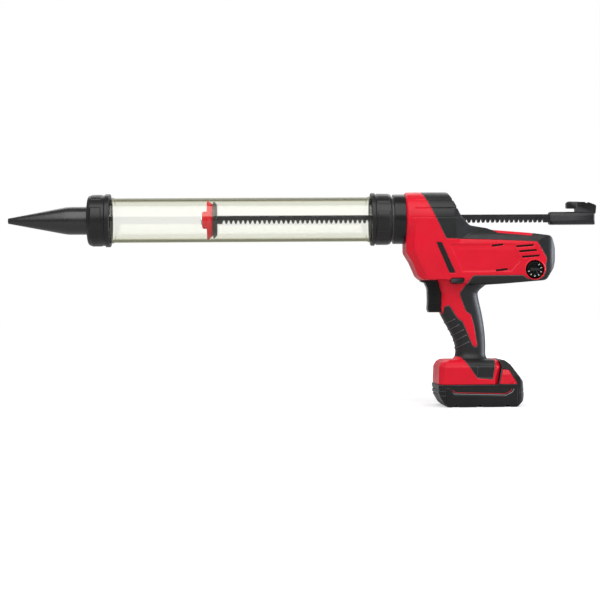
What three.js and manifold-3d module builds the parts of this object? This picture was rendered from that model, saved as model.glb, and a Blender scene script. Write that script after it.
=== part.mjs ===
// A battery-powered caulking gun with a clear sausage barrel. Millimetres, +Z up.
// The origin is the middle of the battery's underside. The barrel points to -X, and the gun stands on its
// battery.
import * as THREE from 'three';
import { mergeVertices } from 'three/addons/utils/BufferGeometryUtils.js';
import Module from 'manifold-3d';

const wasm = await Module();
wasm.setup();
const { Manifold, Mesh } = wasm;

// ---------------------------------------------------------------- driving dimensions
const GAP = 0.3; // seat clearance between two pieces that touch
const RUNNING = 0.1; // radial clearance of a shaft in its bearing
const ROUND = 24; // facets round a large turned piece
const SMALL_ROUND = 16; // facets round a small turned piece
const LEAST_RADIUS = 0.6; // a moved corner rounder than this stays round

// barrel line
const AXIS_Z = 246.5; // height of the barrel's and rod's centre line
const TUBE_OUTER = 29; // radius
const TUBE_WALL = 3;
const TUBE_FRONT = -495.5; // front end of the clear tube
const TUBE_REAR = -118.5;
const CAP_LENGTH = 29.4; // front cap, along the barrel
const CAP_WALL = 4; // front cap's wall over the tube, between its pads
const CAP_BEAD = 5.8; // its rear bead over the tube
const CAP_WALL_END = 5; // thickness of the cap's front wall
const CAP_CORNER = 5; // its rounded front edge
const NOZZLE_RADIUS = 18.2;
const NOZZLE_BARREL = 26; // parallel part ahead of the cap
const NOZZLE_CONE = 78;
const NOZZLE_TIP = 3.5; // radius at the tip
const NOZZLE_BORE_TIP = 2.1;
const NOZZLE_SHOULDER = 7; // length of the gentle turn from cone to barrel
const NOZZLE_WALL = 2.2;
const NOZZLE_FLANGE = 25;
const FLANGE_THICK = 2.5;
const SEAL_THICK = 1.5;
const COLLAR_FRONT = -135;
const COLLAR_LENGTH = 26;
const COLLAR_WALL = 3.9;
const COLLAR_BEAD = 5.8;
const NOSE_RING_FRONT = -106;
const NOSE_RING_RADIUS = 32.6;
const SPIGOT_RADIUS = 27.6; // gear case nose inside the collar
const CASE_FACETS = 20; // round the gear case's nose
const GRIP_PADS = 5; // raised finger pads round the cap and the collar
const PAD_ANGLE = 47; // degrees that one covers
const CAP_PAD_TURN = 4; // degrees that the first stands above the left side
const COLLAR_PAD_TURN = -8;
const PAD_HEIGHT = 0.8;
const PAD_STEPS = 3; // facets across one pad

// rod
const MODULE = 2; // rack and pinion, tooth pitch = PI * MODULE
const RACK_TEETH = 68;
const RACK_FIRST = -328; // centre of the first tooth gap behind the piston
const RACK_WIDTH = 10;
const RACK_BACK = 6; // bar thickness above the tooth roots
const ROOT_DEPTH = 1.25 * MODULE;
const BACKLASH = 0.3;
const PISTON_FRONT = -350;
const PISTON_THICK = 7.7;
const PISTON_CLEARANCE = 0.5;
const BOSS_RADIUS = 11.5;
const BOSS_LENGTH = 6.6;
const BACKPLATE_THICK = 5.2;
const BACKPLATE_RADIUS = 24;
const END_CAP_FRONT = 102;
const END_CAP_LENGTH = 60;
const END_CAP_RADIUS = 8.6;
const END_CAP_FLAT = 0.5; // depth of the hook's seat in the end cap
const END_CAP_SOCKET = 40; // length of rack inside the end cap
const HOOK_LENGTH = 37;
const HOOK_FOOT = 25; // length of the hook's foot on the end cap
const HOOK_ARM = 4.8; // the free arm's height over the seat
const HOOK_HEIGHT = 14;
const HOOK_HALF = 5.5;
const HOOK_SCREW = 10; // its screw from the end of the rod
const STUD_RADIUS = 4; // threaded end of the rod that carries the piston
const NUT_RADIUS = 6.5;
const NUT_THICK = 3.6;
const NUT_SUNK = 2.4; // depth of the nut's seat in the boss

// drive train
const PINION_TEETH = 16;
const PINION_WIDTH = 9;
const DRIVE_X = -45; // both cross shafts stand here
const SPUR_MODULE = 1.5;
const SPUR_TEETH = 30;
const LAY_TEETH = 15;
const SPUR_Y = 10.4; // inner face of the spur pair
const SPUR_WIDTH = 6;
const BEVEL_TEETH = 18;
const BEVEL_PINION_TEETH = 12;
const BEVEL_FACE = 6;
const SHAFT_RADIUS = 5;
const SHAFT_FIT = 0.05; // radial seat of a gear on its shaft and a bearing in its case
const BEARING_WALL = 5.5;
const BEVEL_SHAFT = 4;
const LAY_RADIUS = 4;
const BEARING_WIDTH = 5;
const BEARING_INNER_Y = 17;
const GEARBOX_RADIUS = 21;
const GEARBOX_LENGTH = 32;
const MOTOR_RADIUS = 24;
const MOTOR_LENGTH = 50;

// housing
const HEAD_RADIUS = 35.2;
const HEAD_BEVEL = 2.2;
const HEAD_END = -9.6; // the round head runs into the motor barrel here
const HALF_WIDTH = 34;
const CHIN_FLAT = 25; // half width of the head's lower front face
const CHIN_FACET = 10.5; // length of the bevel from that face to the side
const CHIN_Z = 204; // below this the bevel slants back with the chin
const CHIN_SLANT = 0.52; // its slope, X per Z
const SADDLE_START = -28; // the head's straight cheeks draw in from here
const SADDLE_END = 22; // and end on the motor barrel
const SADDLE_TAIL = 15; // half width there
const HEAD_FRONT = -90.5;
const SHELL = 3.2; // wall of the red shells
const RIB = 2.5; // thickness of the ribs inside them
const RUBBER = 1.6; // thickness of the moulded-on grip
const HANDLE_HALF = 17.5;
const FOOT_HALF = 37;
const FOOT_BOTTOM = 29.5;
const FOOT_CORNER = 6; // bevel of the foot's upright corners
const PANEL_DEPTH = 0.8; // of the sunk panel on each side
const STRIP_DEPTH = 1.2; // of the slanted trim strip on each side
const GROOVE_DEPTH = 0.9; // of the head's and the handle's grip grooves
const GROOVE_HALF = 0.7;
const SPINE_HALF = 5; // the red spine left bare along the top and the tail
const SPINE_START = 23;
const SCREW_SEAT = 9; // y of the seat under a case screw's head
const SCREW_FACETS = 6;
const TOWER_HALF = 24; // battery tower in its well under the foot
const TOWER_TOP = 45;
const TOWER_END = 34;
const RAIL_TOP = 34;
const RAIL_DEPTH = 3.2;
const WELL_FRONT = -42;
const WELL_WALL = 2.5;

// trigger and controls
const TRIGGER_HALF = 9;
const TRIGGER_TRAVEL = 7;
const TRIGGER_TOP = 165.7;
const TRIGGER_BOTTOM = 123.4;
const TRIGGER_TAIL = -37;
const DIAL_X = 76.5;
const DIAL_Z = 178.5;
const DIAL_RADIUS = 10.8;
const DIAL_THICK = 5.5;
const DIAL_STEM = 3; // radius of its stem in the potentiometer
const DIAL_FACETS = 20;
const DIAL_FLUTES = 10; // finger flutes round its edge
const DIAL_RECESS = 7;
const SCREW_HEAD = 3.4; // radius
const SWITCH_HALF = 9.5;
const SWITCH_FRONT = -27.7;
const LOCK_LENGTH = 17;
const LOCK_HEIGHT = 6.2;
const LOCK_X = -24.8;
const LOCK_Z = 164.4; // middle of the lock-off button
const SPRING_Z = 141;
const SPRING_RADIUS = 4;

// battery
const CELL_RADIUS = 9.2;
const CELL_LENGTH = 65;
const CELL_COUNT = 5;
const CELL_ROOM = 2.5; // for the tabs at each end of a cell
const CELL_MIDDLE = 8; // middle of the row of cells
const BATTERY_WALL = 2;
const LATCH_TRAVEL = 3;
const LATCH_THICK = 5;
const LATCH_SUNK = 0.6; // how far its face lies inside the case
const BATTERY_SEAM = 8; // height of the joint between case and base
const TERMINAL_DEPTH = 6;
const BLADE_REACH = 6;
const BLADE_LOW = 36.5;
const BLADE_HEIGHT = 6;
const BLADE_HALF = 0.5; // half thickness of a contact blade
const BLADES = [-12, 0, 12]; // their places across the foot
const LABEL_DEPTH = 0.5; // sunk band along each side of the battery
const BASE_NOTCHES = [-29, 2.6, 39]; // across the battery's underside

// worked-out places
const TUBE_INNER = TUBE_OUTER - TUBE_WALL;
const CAP_RADIUS = TUBE_OUTER + CAP_WALL;
const CAP_FLANGE = TUBE_OUTER + CAP_BEAD;
const COLLAR_RADIUS = TUBE_OUTER + COLLAR_WALL;
const COLLAR_FLANGE = TUBE_OUTER + COLLAR_BEAD;
const STUD_HOLE = STUD_RADIUS + RUNNING;
const PITCH = Math.PI * MODULE;
const RACK_PITCH_Z = AXIS_Z - 3; // the rack's pitch line
const RACK_TIP_Z = RACK_PITCH_Z - MODULE;
const RACK_ROOT_Z = RACK_PITCH_Z + ROOT_DEPTH;
const RACK_TOP_Z = RACK_ROOT_Z + RACK_BACK;
const PINION_PITCH = (MODULE * PINION_TEETH) / 2;
const PINION_Z = RACK_PITCH_Z - PINION_PITCH - BACKLASH / 2;
const SPUR_PITCH = (SPUR_MODULE * SPUR_TEETH) / 2;
const LAY_PITCH = (SPUR_MODULE * LAY_TEETH) / 2;
const LAY_Z = PINION_Z - SPUR_PITCH - LAY_PITCH;
const CAP_FRONT = TUBE_FRONT - SEAL_THICK - FLANGE_THICK - 3 * GAP - CAP_WALL_END;
const BATTERY_TOP = FOOT_BOTTOM - GAP;
const CELL_STEP = 2 * CELL_RADIUS + 1;
const CELL_START = CELL_MIDDLE - ((CELL_COUNT - 1) * CELL_STEP) / 2;
const BATTERY_HALF = CELL_LENGTH / 2 + CELL_ROOM + BATTERY_WALL;
const BACKPLATE_REAR = PISTON_FRONT + PISTON_THICK + GAP + BACKPLATE_THICK;
const ROD_END = END_CAP_FRONT + END_CAP_LENGTH;
const END_CAP_Z = (RACK_TIP_Z + RACK_TOP_Z) / 2;
const HOOK_SEAT = END_CAP_Z + END_CAP_RADIUS - END_CAP_FLAT;
const ROOF_Z = TOWER_TOP + GAP + WELL_WALL; // top of the well's roof
const BEYOND = 400; // past the part on every side

// ---------------------------------------------------------------- solids from three.js geometry
function solidOf(geometry) {
  const bare = geometry.index ? geometry.toNonIndexed() : geometry.clone();
  for (const name of Object.keys(bare.attributes)) {
    if (name !== 'position') bare.deleteAttribute(name);
  }
  const merged = mergeVertices(bare, 1e-3);
  const corners = merged.index.array;
  const kept = [];
  for (let i = 0; i < corners.length; i += 3) {
    const [a, b, c] = [corners[i], corners[i + 1], corners[i + 2]];
    if (a !== b && b !== c && a !== c) kept.push(a, b, c);
  }
  const vertProperties = merged.attributes.position.array;
  const build = () => new Manifold(new Mesh({ numProp: 3, vertProperties, triVerts: new Uint32Array(kept) }));
  const made = build();
  if (made.volume() > 0) return made;
  for (let i = 0; i < kept.length; i += 3) [kept[i], kept[i + 1]] = [kept[i + 1], kept[i]];
  return build();
}

function geometryOf(solid) {
  const mesh = solid.getMesh();
  const geometry = new THREE.BufferGeometry();
  geometry.setAttribute('position', new THREE.BufferAttribute(new Float32Array(mesh.vertProperties), 3));
  geometry.setIndex(new THREE.BufferAttribute(new Uint32Array(mesh.triVerts), 1));
  geometry.computeVertexNormals();
  return geometry;
}

const join = (...solids) => solids.reduce((a, b) => a.add(b));
const cut = (from, ...tools) => tools.reduce((a, b) => a.subtract(b), from);
const common = (...solids) => solids.reduce((a, b) => a.intersect(b));

// Axis orders: a drawing's (x, y) laid on two of the part's axes and pushed along the third.
const ALONG_Y = new THREE.Matrix4().makeRotationX(Math.PI / 2); // drawing x, y -> X, Z
const ALONG_X = new THREE.Matrix4().makeBasis(
  new THREE.Vector3(0, 1, 0), new THREE.Vector3(0, 0, 1), new THREE.Vector3(1, 0, 0)); // drawing x, y -> Y, Z

function push(outline, length, holes = []) {
  const shape = new THREE.Shape(outline.map(([x, y]) => new THREE.Vector2(x, y)));
  for (const hole of holes) shape.holes.push(new THREE.Path(hole.map(([x, y]) => new THREE.Vector2(x, y))));
  return new THREE.ExtrudeGeometry(shape, { depth: length, bevelEnabled: false, steps: 1 });
}

// An XZ outline pushed from y0 to y1.
function slabY(outline, y0, y1, holes) {
  const made = push(outline, y1 - y0, holes).applyMatrix4(ALONG_Y);
  return solidOf(made.translate(0, y1, 0));
}

// A YZ outline pushed from x0 to x1.
function slabX(outline, x0, x1, holes) {
  const made = push(outline, x1 - x0, holes).applyMatrix4(ALONG_X);
  return solidOf(made.translate(x0, 0, 0));
}

// An XY outline pushed from z0 to z1.
function slabZ(outline, z0, z1, holes) {
  return solidOf(push(outline, z1 - z0, holes).translate(0, 0, z0));
}

// A profile of [radius, x] turned about a line along X at y = 0 and the given height.
function turnX(profile, z = AXIS_Z, facets = ROUND, y = 0) {
  const points = profile.map(([r, x]) => new THREE.Vector2(r, x));
  const made = new THREE.LatheGeometry(points, facets).rotateZ(-Math.PI / 2);
  return solidOf(made.translate(0, y, z));
}

// A profile of [radius, y] turned about a line along Y.
function turnY(profile, x, z, facets = SMALL_ROUND) {
  const points = profile.map(([r, y]) => new THREE.Vector2(r, y));
  return solidOf(new THREE.LatheGeometry(points, facets).translate(x, 0, z));
}

const rodX = (r, x0, x1, z = AXIS_Z, facets = ROUND, y = 0) =>
  turnX([[0, x0], [r, x0], [r, x1], [0, x1]], z, facets, y);
const rodY = (r, y0, y1, x, z, facets = SMALL_ROUND) =>
  turnY([[0, y0], [r, y0], [r, y1], [0, y1]], x, z, facets);

const ringOf = (profile) => [...profile, profile[0]]; // a turned profile that closes on itself

// A pin along Z.
const pinZ = (r, z0, z1, x, facets = SMALL_ROUND) => solidOf(
  new THREE.CylinderGeometry(r, r, z1 - z0, facets).rotateX(Math.PI / 2).translate(x, 0, (z0 + z1) / 2));

// A block from -y to y.
const bar = (x0, x1, y, z0, z1) => block(x0, x1, -y, y, z0, z1);

function block(x0, x1, y0, y1, z0, z1) {
  const made = new THREE.BoxGeometry(x1 - x0, y1 - y0, z1 - z0);
  return solidOf(made.translate((x0 + x1) / 2, (y0 + y1) / 2, (z0 + z1) / 2));
}

// An outline from corners [x, y, radius]: a corner with a radius becomes an arc.
function rounded(corners, steps = 4) {
  const out = [];
  corners.forEach(([x, y, r], i) => {
    if (!r) {
      out.push([x, y]);
      return;
    }
    const before = corners[(i + corners.length - 1) % corners.length];
    const after = corners[(i + 1) % corners.length];
    const u = new THREE.Vector2(before[0] - x, before[1] - y).normalize();
    const v = new THREE.Vector2(after[0] - x, after[1] - y).normalize();
    const half = Math.acos(THREE.MathUtils.clamp(u.dot(v), -1, 1)) / 2;
    const reach = r / Math.tan(half);
    const middle = u.clone().add(v).normalize().multiplyScalar(r / Math.sin(half));
    const centre = new THREE.Vector2(x, y).add(middle);
    const from = new THREE.Vector2(x, y).addScaledVector(u, reach).sub(centre);
    const to = new THREE.Vector2(x, y).addScaledVector(v, reach).sub(centre);
    const sweep = Math.atan2(from.x * to.y - from.y * to.x, from.dot(to));
    for (let k = 0; k <= steps; k++) {
      const p = from.clone().rotateAround(new THREE.Vector2(), (sweep * k) / steps).add(centre);
      out.push([p.x, p.y]);
    }
  });
  return out;
}

// Anticlockwise corners [x, y, radius] moved inwards by d with mitred corners, then rounded.
function shrunk(corners, d, steps) {
  const n = corners.length;
  const inner = corners.map(([x, y, r], i) => {
    const a = corners[(i + n - 1) % n];
    const b = corners[(i + 1) % n];
    const u = new THREE.Vector2(x - a[0], y - a[1]).normalize();
    const v = new THREE.Vector2(b[0] - x, b[1] - y).normalize();
    const m = new THREE.Vector2(-u.y - v.y, u.x + v.x);
    m.multiplyScalar(d / (1 + u.dot(v)));
    return [x + m.x, y + m.y, r - d > LEAST_RADIUS ? r - d : 0];
  });
  return rounded(inner, steps);
}

// A closed skin through rings of the same number of points.
function loft(rings) {
  const n = rings[0].length;
  const positions = rings.flat(2);
  const index = [];
  for (let k = 0; k + 1 < rings.length; k++) {
    for (let i = 0; i < n; i++) {
      const [a, b] = [k * n + i, k * n + ((i + 1) % n)];
      index.push(a, b, b + n, a, b + n, a + n);
    }
  }
  const capAt = (ring, start, flip) => {
    const centre = [0, 1, 2].map((c) => ring.reduce((s, p) => s + p[c], 0) / n);
    positions.push(...centre);
    const middle = positions.length / 3 - 1;
    for (let i = 0; i < n; i++) {
      const [a, b] = [start + i, start + ((i + 1) % n)];
      index.push(...(flip ? [b, a, middle] : [a, b, middle]));
    }
  };
  capAt(rings[0], 0, true);
  capAt(rings[rings.length - 1], (rings.length - 1) * n, false);
  const geometry = new THREE.BufferGeometry();
  geometry.setAttribute('position', new THREE.Float32BufferAttribute(positions, 3));
  geometry.setIndex(index);
  return solidOf(geometry);
}

// A ring at height z between x0 and x1, square for a high power and round for 2.
function ringAt(z, x0, x1, half, power, n = 24) {
  const ring = [];
  for (let i = 0; i < n; i++) {
    const t = ((i + 0.5) / n) * 2 * Math.PI;
    const [c, s] = [Math.cos(t), Math.sin(t)];
    const x = Math.sign(c) * Math.abs(c) ** (2 / power);
    const y = Math.sign(s) * Math.abs(s) ** (2 / power);
    ring.push([(x0 + x1) / 2 + (x * (x1 - x0)) / 2, y * half, z]);
  }
  return ring;
}

// ---------------------------------------------------------------- gears
// The outline of a spur gear about the origin: flanks from root to tip through the involute's ends, thinned.
function gearOutline(teeth, module, thinning) {
  const pitch = (module * teeth) / 2;
  const base = pitch * Math.cos(THREE.MathUtils.degToRad(20));
  const involute = (r) => {
    const a = Math.acos(Math.min(1, base / r));
    return Math.tan(a) - a;
  };
  const middle = Math.PI / (2 * teeth) - thinning / (2 * pitch) + involute(pitch);
  const root = [pitch - 1.25 * module, middle - involute(base)];
  const tip = [pitch + module, middle - involute(pitch + module)];
  const out = [];
  for (let tooth = 0; tooth < teeth; tooth++) {
    const centre = (2 * Math.PI * tooth) / teeth;
    for (const [r, a] of [[root[0], -root[1]], [tip[0], -tip[1]], tip, root]) {
      out.push([r * Math.cos(centre + a), r * Math.sin(centre + a)]);
    }
  }
  return out;
}

const turned = (outline, angle) => outline.map(([x, y]) => [
  x * Math.cos(angle) - y * Math.sin(angle), x * Math.sin(angle) + y * Math.cos(angle)]);
const moved = (outline, dx, dy) => outline.map(([x, y]) => [x + dx, y + dy]);

// Straight bevel gear: its outline shrinks towards the apex, where both axes cross. The axis is +Z here.
function bevelGear(teeth, module, coneDistance, heel, thinning) {
  const outline = gearOutline(teeth, module, thinning);
  const toe = 1 - BEVEL_FACE / coneDistance;
  const ring = (scale) => outline.map(([x, y]) => [x * scale, y * scale, heel * scale]);
  return loft([ring(1), ring(toe)]);
}

// ---------------------------------------------------------------- materials
const RED = 0xd9202c;
const BLACK = 0x1d1e1f;
const plastic = (color, roughness) => new THREE.MeshStandardMaterial({ color, roughness, metalness: 0 });
const metal = (color, roughness) => new THREE.MeshStandardMaterial({ color, roughness, metalness: 1 });
const redPlastic = plastic(RED, 0.35);
const redGloss = plastic(RED, 0.25);
const blackPlastic = plastic(BLACK, 0.45);
const rubber = plastic(0x26282a, 0.7);
const clear = new THREE.MeshStandardMaterial({
  color: 0xeeeedd, roughness: 0.05, metalness: 0, transparent: true, opacity: 0.25 });
const blackSteel = metal(0x2b2c2d, 0.4);
const steel = metal(0xb9bcc0, 0.3);
const castAlloy = metal(0x2f3032, 0.5);
const cellWrap = plastic(0x3f7f6a, 0.4);
const board = plastic(0x1e5a36, 0.5);

const gun = new THREE.Group();
const bodies = {};
for (const name of ['barrel', 'front_end', 'rod', 'drive', 'housing', 'controls', 'battery']) {
  bodies[name] = new THREE.Group();
  gun.add(bodies[name]);
}
function place(body, name, solid, material) {
  const mesh = new THREE.Mesh(geometryOf(solid), material);
  mesh.name = name;
  bodies[body].add(mesh);
}

// ---------------------------------------------------------------- barrel
function clearTube() {
  const [o, i] = [TUBE_OUTER, TUBE_INNER];
  return turnX(ringOf([[i, TUBE_FRONT], [o, TUBE_FRONT], [o, TUBE_REAR], [i, TUBE_REAR]]));
}

// Raised finger pads round a turned grip ring, from x0 to x1 and out to the radius, with bevelled ends.
function gripPads(x0, x1, radius, turn) {
  const low = radius - 2 * PAD_HEIGHT;
  const ring = turnX(ringOf([[low, x0 - PAD_HEIGHT], [radius, x0 + PAD_HEIGHT], [radius, x1 - PAD_HEIGHT],
    [low, x1 + PAD_HEIGHT]]), AXIS_Z, Math.round((360 / PAD_ANGLE) * PAD_STEPS));
  const wedges = [];
  for (let k = 0; k < GRIP_PADS; k++) {
    const middle = THREE.MathUtils.degToRad(180 - turn + (k * 360) / GRIP_PADS);
    const half = THREE.MathUtils.degToRad(PAD_ANGLE / 2);
    const outline = [[0, AXIS_Z]];
    for (const a of [middle - half, middle, middle + half]) {
      outline.push([2 * radius * Math.cos(a), AXIS_Z + 2 * radius * Math.sin(a)]);
    }
    wedges.push(slabX(outline, x0 - 2, x1 + 2));
  }
  return wedges.map((wedge) => common(ring, wedge));
}

function frontCap() {
  const front = CAP_FRONT;
  const rear = front + CAP_LENGTH;
  const hole = NOZZLE_RADIUS + GAP;
  const bore = TUBE_OUTER + GAP;
  const corner = [];
  for (let k = 0; k <= 2; k++) {
    const a = (k * Math.PI) / 4;
    corner.push([CAP_RADIUS - CAP_CORNER * (1 - Math.sin(a)), front + CAP_CORNER * (1 - Math.cos(a))]);
  }
  const shell = turnX(ringOf([
    [hole, front], ...corner, [CAP_RADIUS, rear - 7], [CAP_FLANGE, rear - 6], [CAP_FLANGE, rear - 1.2],
    [CAP_FLANGE - 1.2, rear], [bore, rear], [bore, front + CAP_WALL_END], [hole, front + CAP_WALL_END]]));
  return join(shell, ...gripPads(front + 3.5, rear - 8.5, CAP_RADIUS + PAD_HEIGHT, CAP_PAD_TURN));
}

function nozzle() {
  const seat = CAP_FRONT + CAP_WALL_END + GAP; // front face of the flange, against the cap's wall
  const mouth = CAP_FRONT - NOZZLE_BARREL;
  const tip = mouth - NOZZLE_CONE;
  const r = NOZZLE_RADIUS;
  const bore = r - NOZZLE_WALL;
  return turnX(ringOf([
    [NOZZLE_BORE_TIP, tip], [NOZZLE_TIP, tip], [r - 1.2, mouth - NOZZLE_SHOULDER], [r - 0.3, mouth - 1],
    [r, mouth + 3], [r, seat], [NOZZLE_FLANGE, seat], [NOZZLE_FLANGE, seat + FLANGE_THICK],
    [bore, seat + FLANGE_THICK], [bore - 1, mouth - NOZZLE_SHOULDER]]));
}

function nozzleSeal() {
  const x0 = CAP_FRONT + CAP_WALL_END + FLANGE_THICK + 2 * GAP;
  const [i, o] = [NOZZLE_RADIUS, TUBE_OUTER - 0.5];
  return turnX(ringOf([[i, x0], [o, x0], [o, x0 + SEAL_THICK], [i, x0 + SEAL_THICK]]));
}

function rearCollar() {
  const [x0, x1] = [COLLAR_FRONT, COLLAR_FRONT + COLLAR_LENGTH];
  const bore = TUBE_OUTER + GAP;
  const thread = SPIGOT_RADIUS + GAP;
  const shell = turnX(ringOf([
    [bore, x0], [COLLAR_FLANGE - 1, x0], [COLLAR_FLANGE, x0 + 1], [COLLAR_FLANGE, x0 + 4.5],
    [COLLAR_RADIUS, x0 + 5.5], [COLLAR_RADIUS, x1 - 1.5], [COLLAR_RADIUS - 1.5, x1],
    [thread, x1], [thread, TUBE_REAR + GAP], [bore, TUBE_REAR + GAP]]));
  return join(shell, ...gripPads(x0 + 7.5, x1 - 3, COLLAR_RADIUS + PAD_HEIGHT, COLLAR_PAD_TURN));
}

place('barrel', 'barrel_tube', clearTube(), clear);
place('barrel', 'rear_collar', rearCollar(), blackPlastic);
place('front_end', 'front_cap', frontCap(), blackPlastic);
place('front_end', 'nozzle', nozzle(), blackPlastic);
place('front_end', 'nozzle_seal', nozzleSeal(), rubber);

// ---------------------------------------------------------------- rod
function rackRod() {
  const outline = [];
  const halfGapRoot = PITCH / 4 - ROOT_DEPTH * Math.tan(THREE.MathUtils.degToRad(20));
  const halfGapTip = PITCH / 4 + MODULE * Math.tan(THREE.MathUtils.degToRad(20));
  const rear = END_CAP_FRONT + END_CAP_SOCKET;
  const front = BACKPLATE_REAR + GAP;
  outline.push([front, RACK_TIP_Z]);
  for (let k = 0; k < RACK_TEETH; k++) {
    const x = RACK_FIRST + k * PITCH;
    outline.push([x - halfGapTip, RACK_TIP_Z], [x - halfGapRoot, RACK_ROOT_Z]);
    outline.push([x + halfGapRoot, RACK_ROOT_Z], [x + halfGapTip, RACK_TIP_Z]);
  }
  outline.push([rear, RACK_TIP_Z], [rear, RACK_TOP_Z], [front, RACK_TOP_Z]);
  const stud = rodX(STUD_RADIUS, PISTON_FRONT - 2, front + 1, AXIS_Z, SMALL_ROUND);
  return join(slabY(outline, -RACK_WIDTH / 2, RACK_WIDTH / 2), stud);
}

function piston() {
  const [x0, x1] = [PISTON_FRONT, PISTON_FRONT + PISTON_THICK];
  const lip = TUBE_INNER - PISTON_CLEARANCE;
  const boss = x0 - BOSS_LENGTH;
  const seat = boss + NUT_SUNK;
  return turnX(ringOf([
    [STUD_HOLE, seat], [NUT_RADIUS + 1, seat], [NUT_RADIUS + 1, boss], [BOSS_RADIUS - 2, boss],
    [BOSS_RADIUS, boss + 2], [BOSS_RADIUS, x0], [lip - 0.5, x0], [lip, x0 + 0.6], [lip, x0 + 1.6],
    [lip - 5, x1], [STUD_HOLE, x1]]));
}

function pistonBackplate() {
  const x0 = PISTON_FRONT + PISTON_THICK + GAP;
  const x1 = x0 + BACKPLATE_THICK;
  const r = BACKPLATE_RADIUS;
  return turnX(ringOf([[STUD_HOLE, x0], [r - 1, x0], [r, x0 + 0.8], [r - 4, x1], [STUD_HOLE, x1]]));
}

function pistonNut() {
  const x1 = PISTON_FRONT - BOSS_LENGTH + NUT_SUNK - GAP;
  return rodX(NUT_RADIUS, x1 - NUT_THICK, x1, AXIS_Z, 6);
}

function rodEndCap() {
  const [x0, x1] = [END_CAP_FRONT, ROD_END];
  const r = END_CAP_RADIUS;
  const body = turnX([[0, x0], [r - 0.5, x0], [r, x0 + 0.5], [r, x1 - 2.5], [r - 2.5, x1], [0, x1]], END_CAP_Z);
  const half = RACK_WIDTH / 2 + GAP;
  const socket = bar(x0 - 1, x0 + END_CAP_SOCKET + GAP, half, RACK_TIP_Z - GAP, RACK_TOP_Z + GAP);
  const flat = bar(x1 - HOOK_FOOT - 2, x1 + 1, r, HOOK_SEAT - GAP, HOOK_SEAT + r);
  const pilot = pinZ(1.4, HOOK_SEAT - 8, HOOK_SEAT + 1, x1 - HOOK_SCREW, 12);
  return cut(body, socket, flat, pilot);
}

function hangHook() {
  const [x1, seat] = [ROD_END, HOOK_SEAT];
  const outline = rounded([
    [x1 - HOOK_LENGTH, seat + HOOK_ARM, 1.5], [x1 - HOOK_FOOT - 0.3, seat + HOOK_ARM - 0.2, 0.8],
    [x1 - HOOK_FOOT, seat, 0], [x1 + GAP, seat, 0], [x1 + GAP, seat - 2.4, 0], [x1 + 1.2, seat - 1.8, 0.8],
    [x1 + 2.2, seat + 9, 3], [x1 - 8, seat + HOOK_HEIGHT - 0.6, 4], [x1 - HOOK_LENGTH, seat + HOOK_HEIGHT, 3]], 2);
  const x = x1 - HOOK_SCREW;
  const counterbore = pinZ(3.2, seat + HOOK_ARM - 0.8, seat + HOOK_HEIGHT + 2, x);
  const hole = pinZ(1.7, seat - 9, seat + HOOK_HEIGHT + 2, x, 12);
  return cut(slabY(outline, -HOOK_HALF, HOOK_HALF), counterbore, hole);
}

function hookScrew() {
  const head = HOOK_SEAT + HOOK_ARM - 0.8 + GAP;
  const x = ROD_END - HOOK_SCREW;
  return join(pinZ(1.2, HOOK_SEAT - 6, head + 0.5, x, 12), pinZ(2.8, head, head + 2, x, 12));
}

place('rod', 'rack_rod', rackRod(), blackSteel);
place('rod', 'piston', piston(), redGloss);
place('rod', 'piston_backplate', pistonBackplate(), blackPlastic);
place('rod', 'piston_nut', pistonNut(), steel);
place('rod', 'rod_end_cap', rodEndCap(), blackPlastic);
place('rod', 'hang_hook', hangHook(), blackPlastic);
place('rod', 'hook_screw', hookScrew(), steel);

// ---------------------------------------------------------------- drive train
// A rack gap centre stands over the pinion, so the pinion has a tooth pointing straight up.
const RACK_PHASE = (((RACK_FIRST - DRIVE_X) / PITCH) % 1 + 1) % 1;
const PINION_TURN = Math.PI / 2 - (RACK_PHASE * 2 * Math.PI) / PINION_TEETH;

// A gear outline at a cross shaft: its drawing lies in XZ.
function spurGear(teeth, module, angle, x, z, y0, y1, bore) {
  const outline = moved(turned(gearOutline(teeth, module, BACKLASH), angle), x, z);
  return cut(slabY(outline, y0, y1), rodY(bore, y0 - 1, y1 + 1, x, z));
}

function crossShaft(radius, z, seats) {
  const end = BEARING_INNER_Y + BEARING_WIDTH;
  const journal = radius - 1;
  return turnY([
    [0, -end], [journal, -end], [journal, -BEARING_INNER_Y + GAP], [radius, -BEARING_INNER_Y + GAP],
    [radius, BEARING_INNER_Y - GAP], [journal, BEARING_INNER_Y - GAP], [journal, end], [0, end]], DRIVE_X, z);
}

function bearing(side, journal, z) {
  const y0 = side > 0 ? BEARING_INNER_Y : -BEARING_INNER_Y - BEARING_WIDTH;
  const [i, o] = [journal + RUNNING, journal + BEARING_WALL];
  return turnY([[i, y0], [o, y0], [o, y0 + BEARING_WIDTH], [i, y0 + BEARING_WIDTH], [i, y0]], DRIVE_X, z);
}

const pinionY = PINION_WIDTH / 2;
place('drive', 'rack_pinion', spurGear(PINION_TEETH, MODULE, PINION_TURN, DRIVE_X, PINION_Z, -pinionY, pinionY,
  SHAFT_RADIUS + SHAFT_FIT), steel);
place('drive', 'pinion_shaft', crossShaft(SHAFT_RADIUS, PINION_Z), steel);
const SPUR_TURN = -Math.PI / 2; // a tooth of the large wheel points down at the layshaft
place('drive', 'drive_gear', spurGear(SPUR_TEETH, SPUR_MODULE, SPUR_TURN, DRIVE_X, PINION_Z, SPUR_Y,
  SPUR_Y + SPUR_WIDTH, SHAFT_RADIUS + SHAFT_FIT), steel);
const LAY_TURN = Math.PI / 2 + Math.PI / LAY_TEETH;
place('drive', 'lay_pinion', spurGear(LAY_TEETH, SPUR_MODULE, LAY_TURN, DRIVE_X, LAY_Z, SPUR_Y,
  SPUR_Y + SPUR_WIDTH, LAY_RADIUS + SHAFT_FIT), steel);
place('drive', 'layshaft', crossShaft(LAY_RADIUS, LAY_Z), steel);

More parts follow.
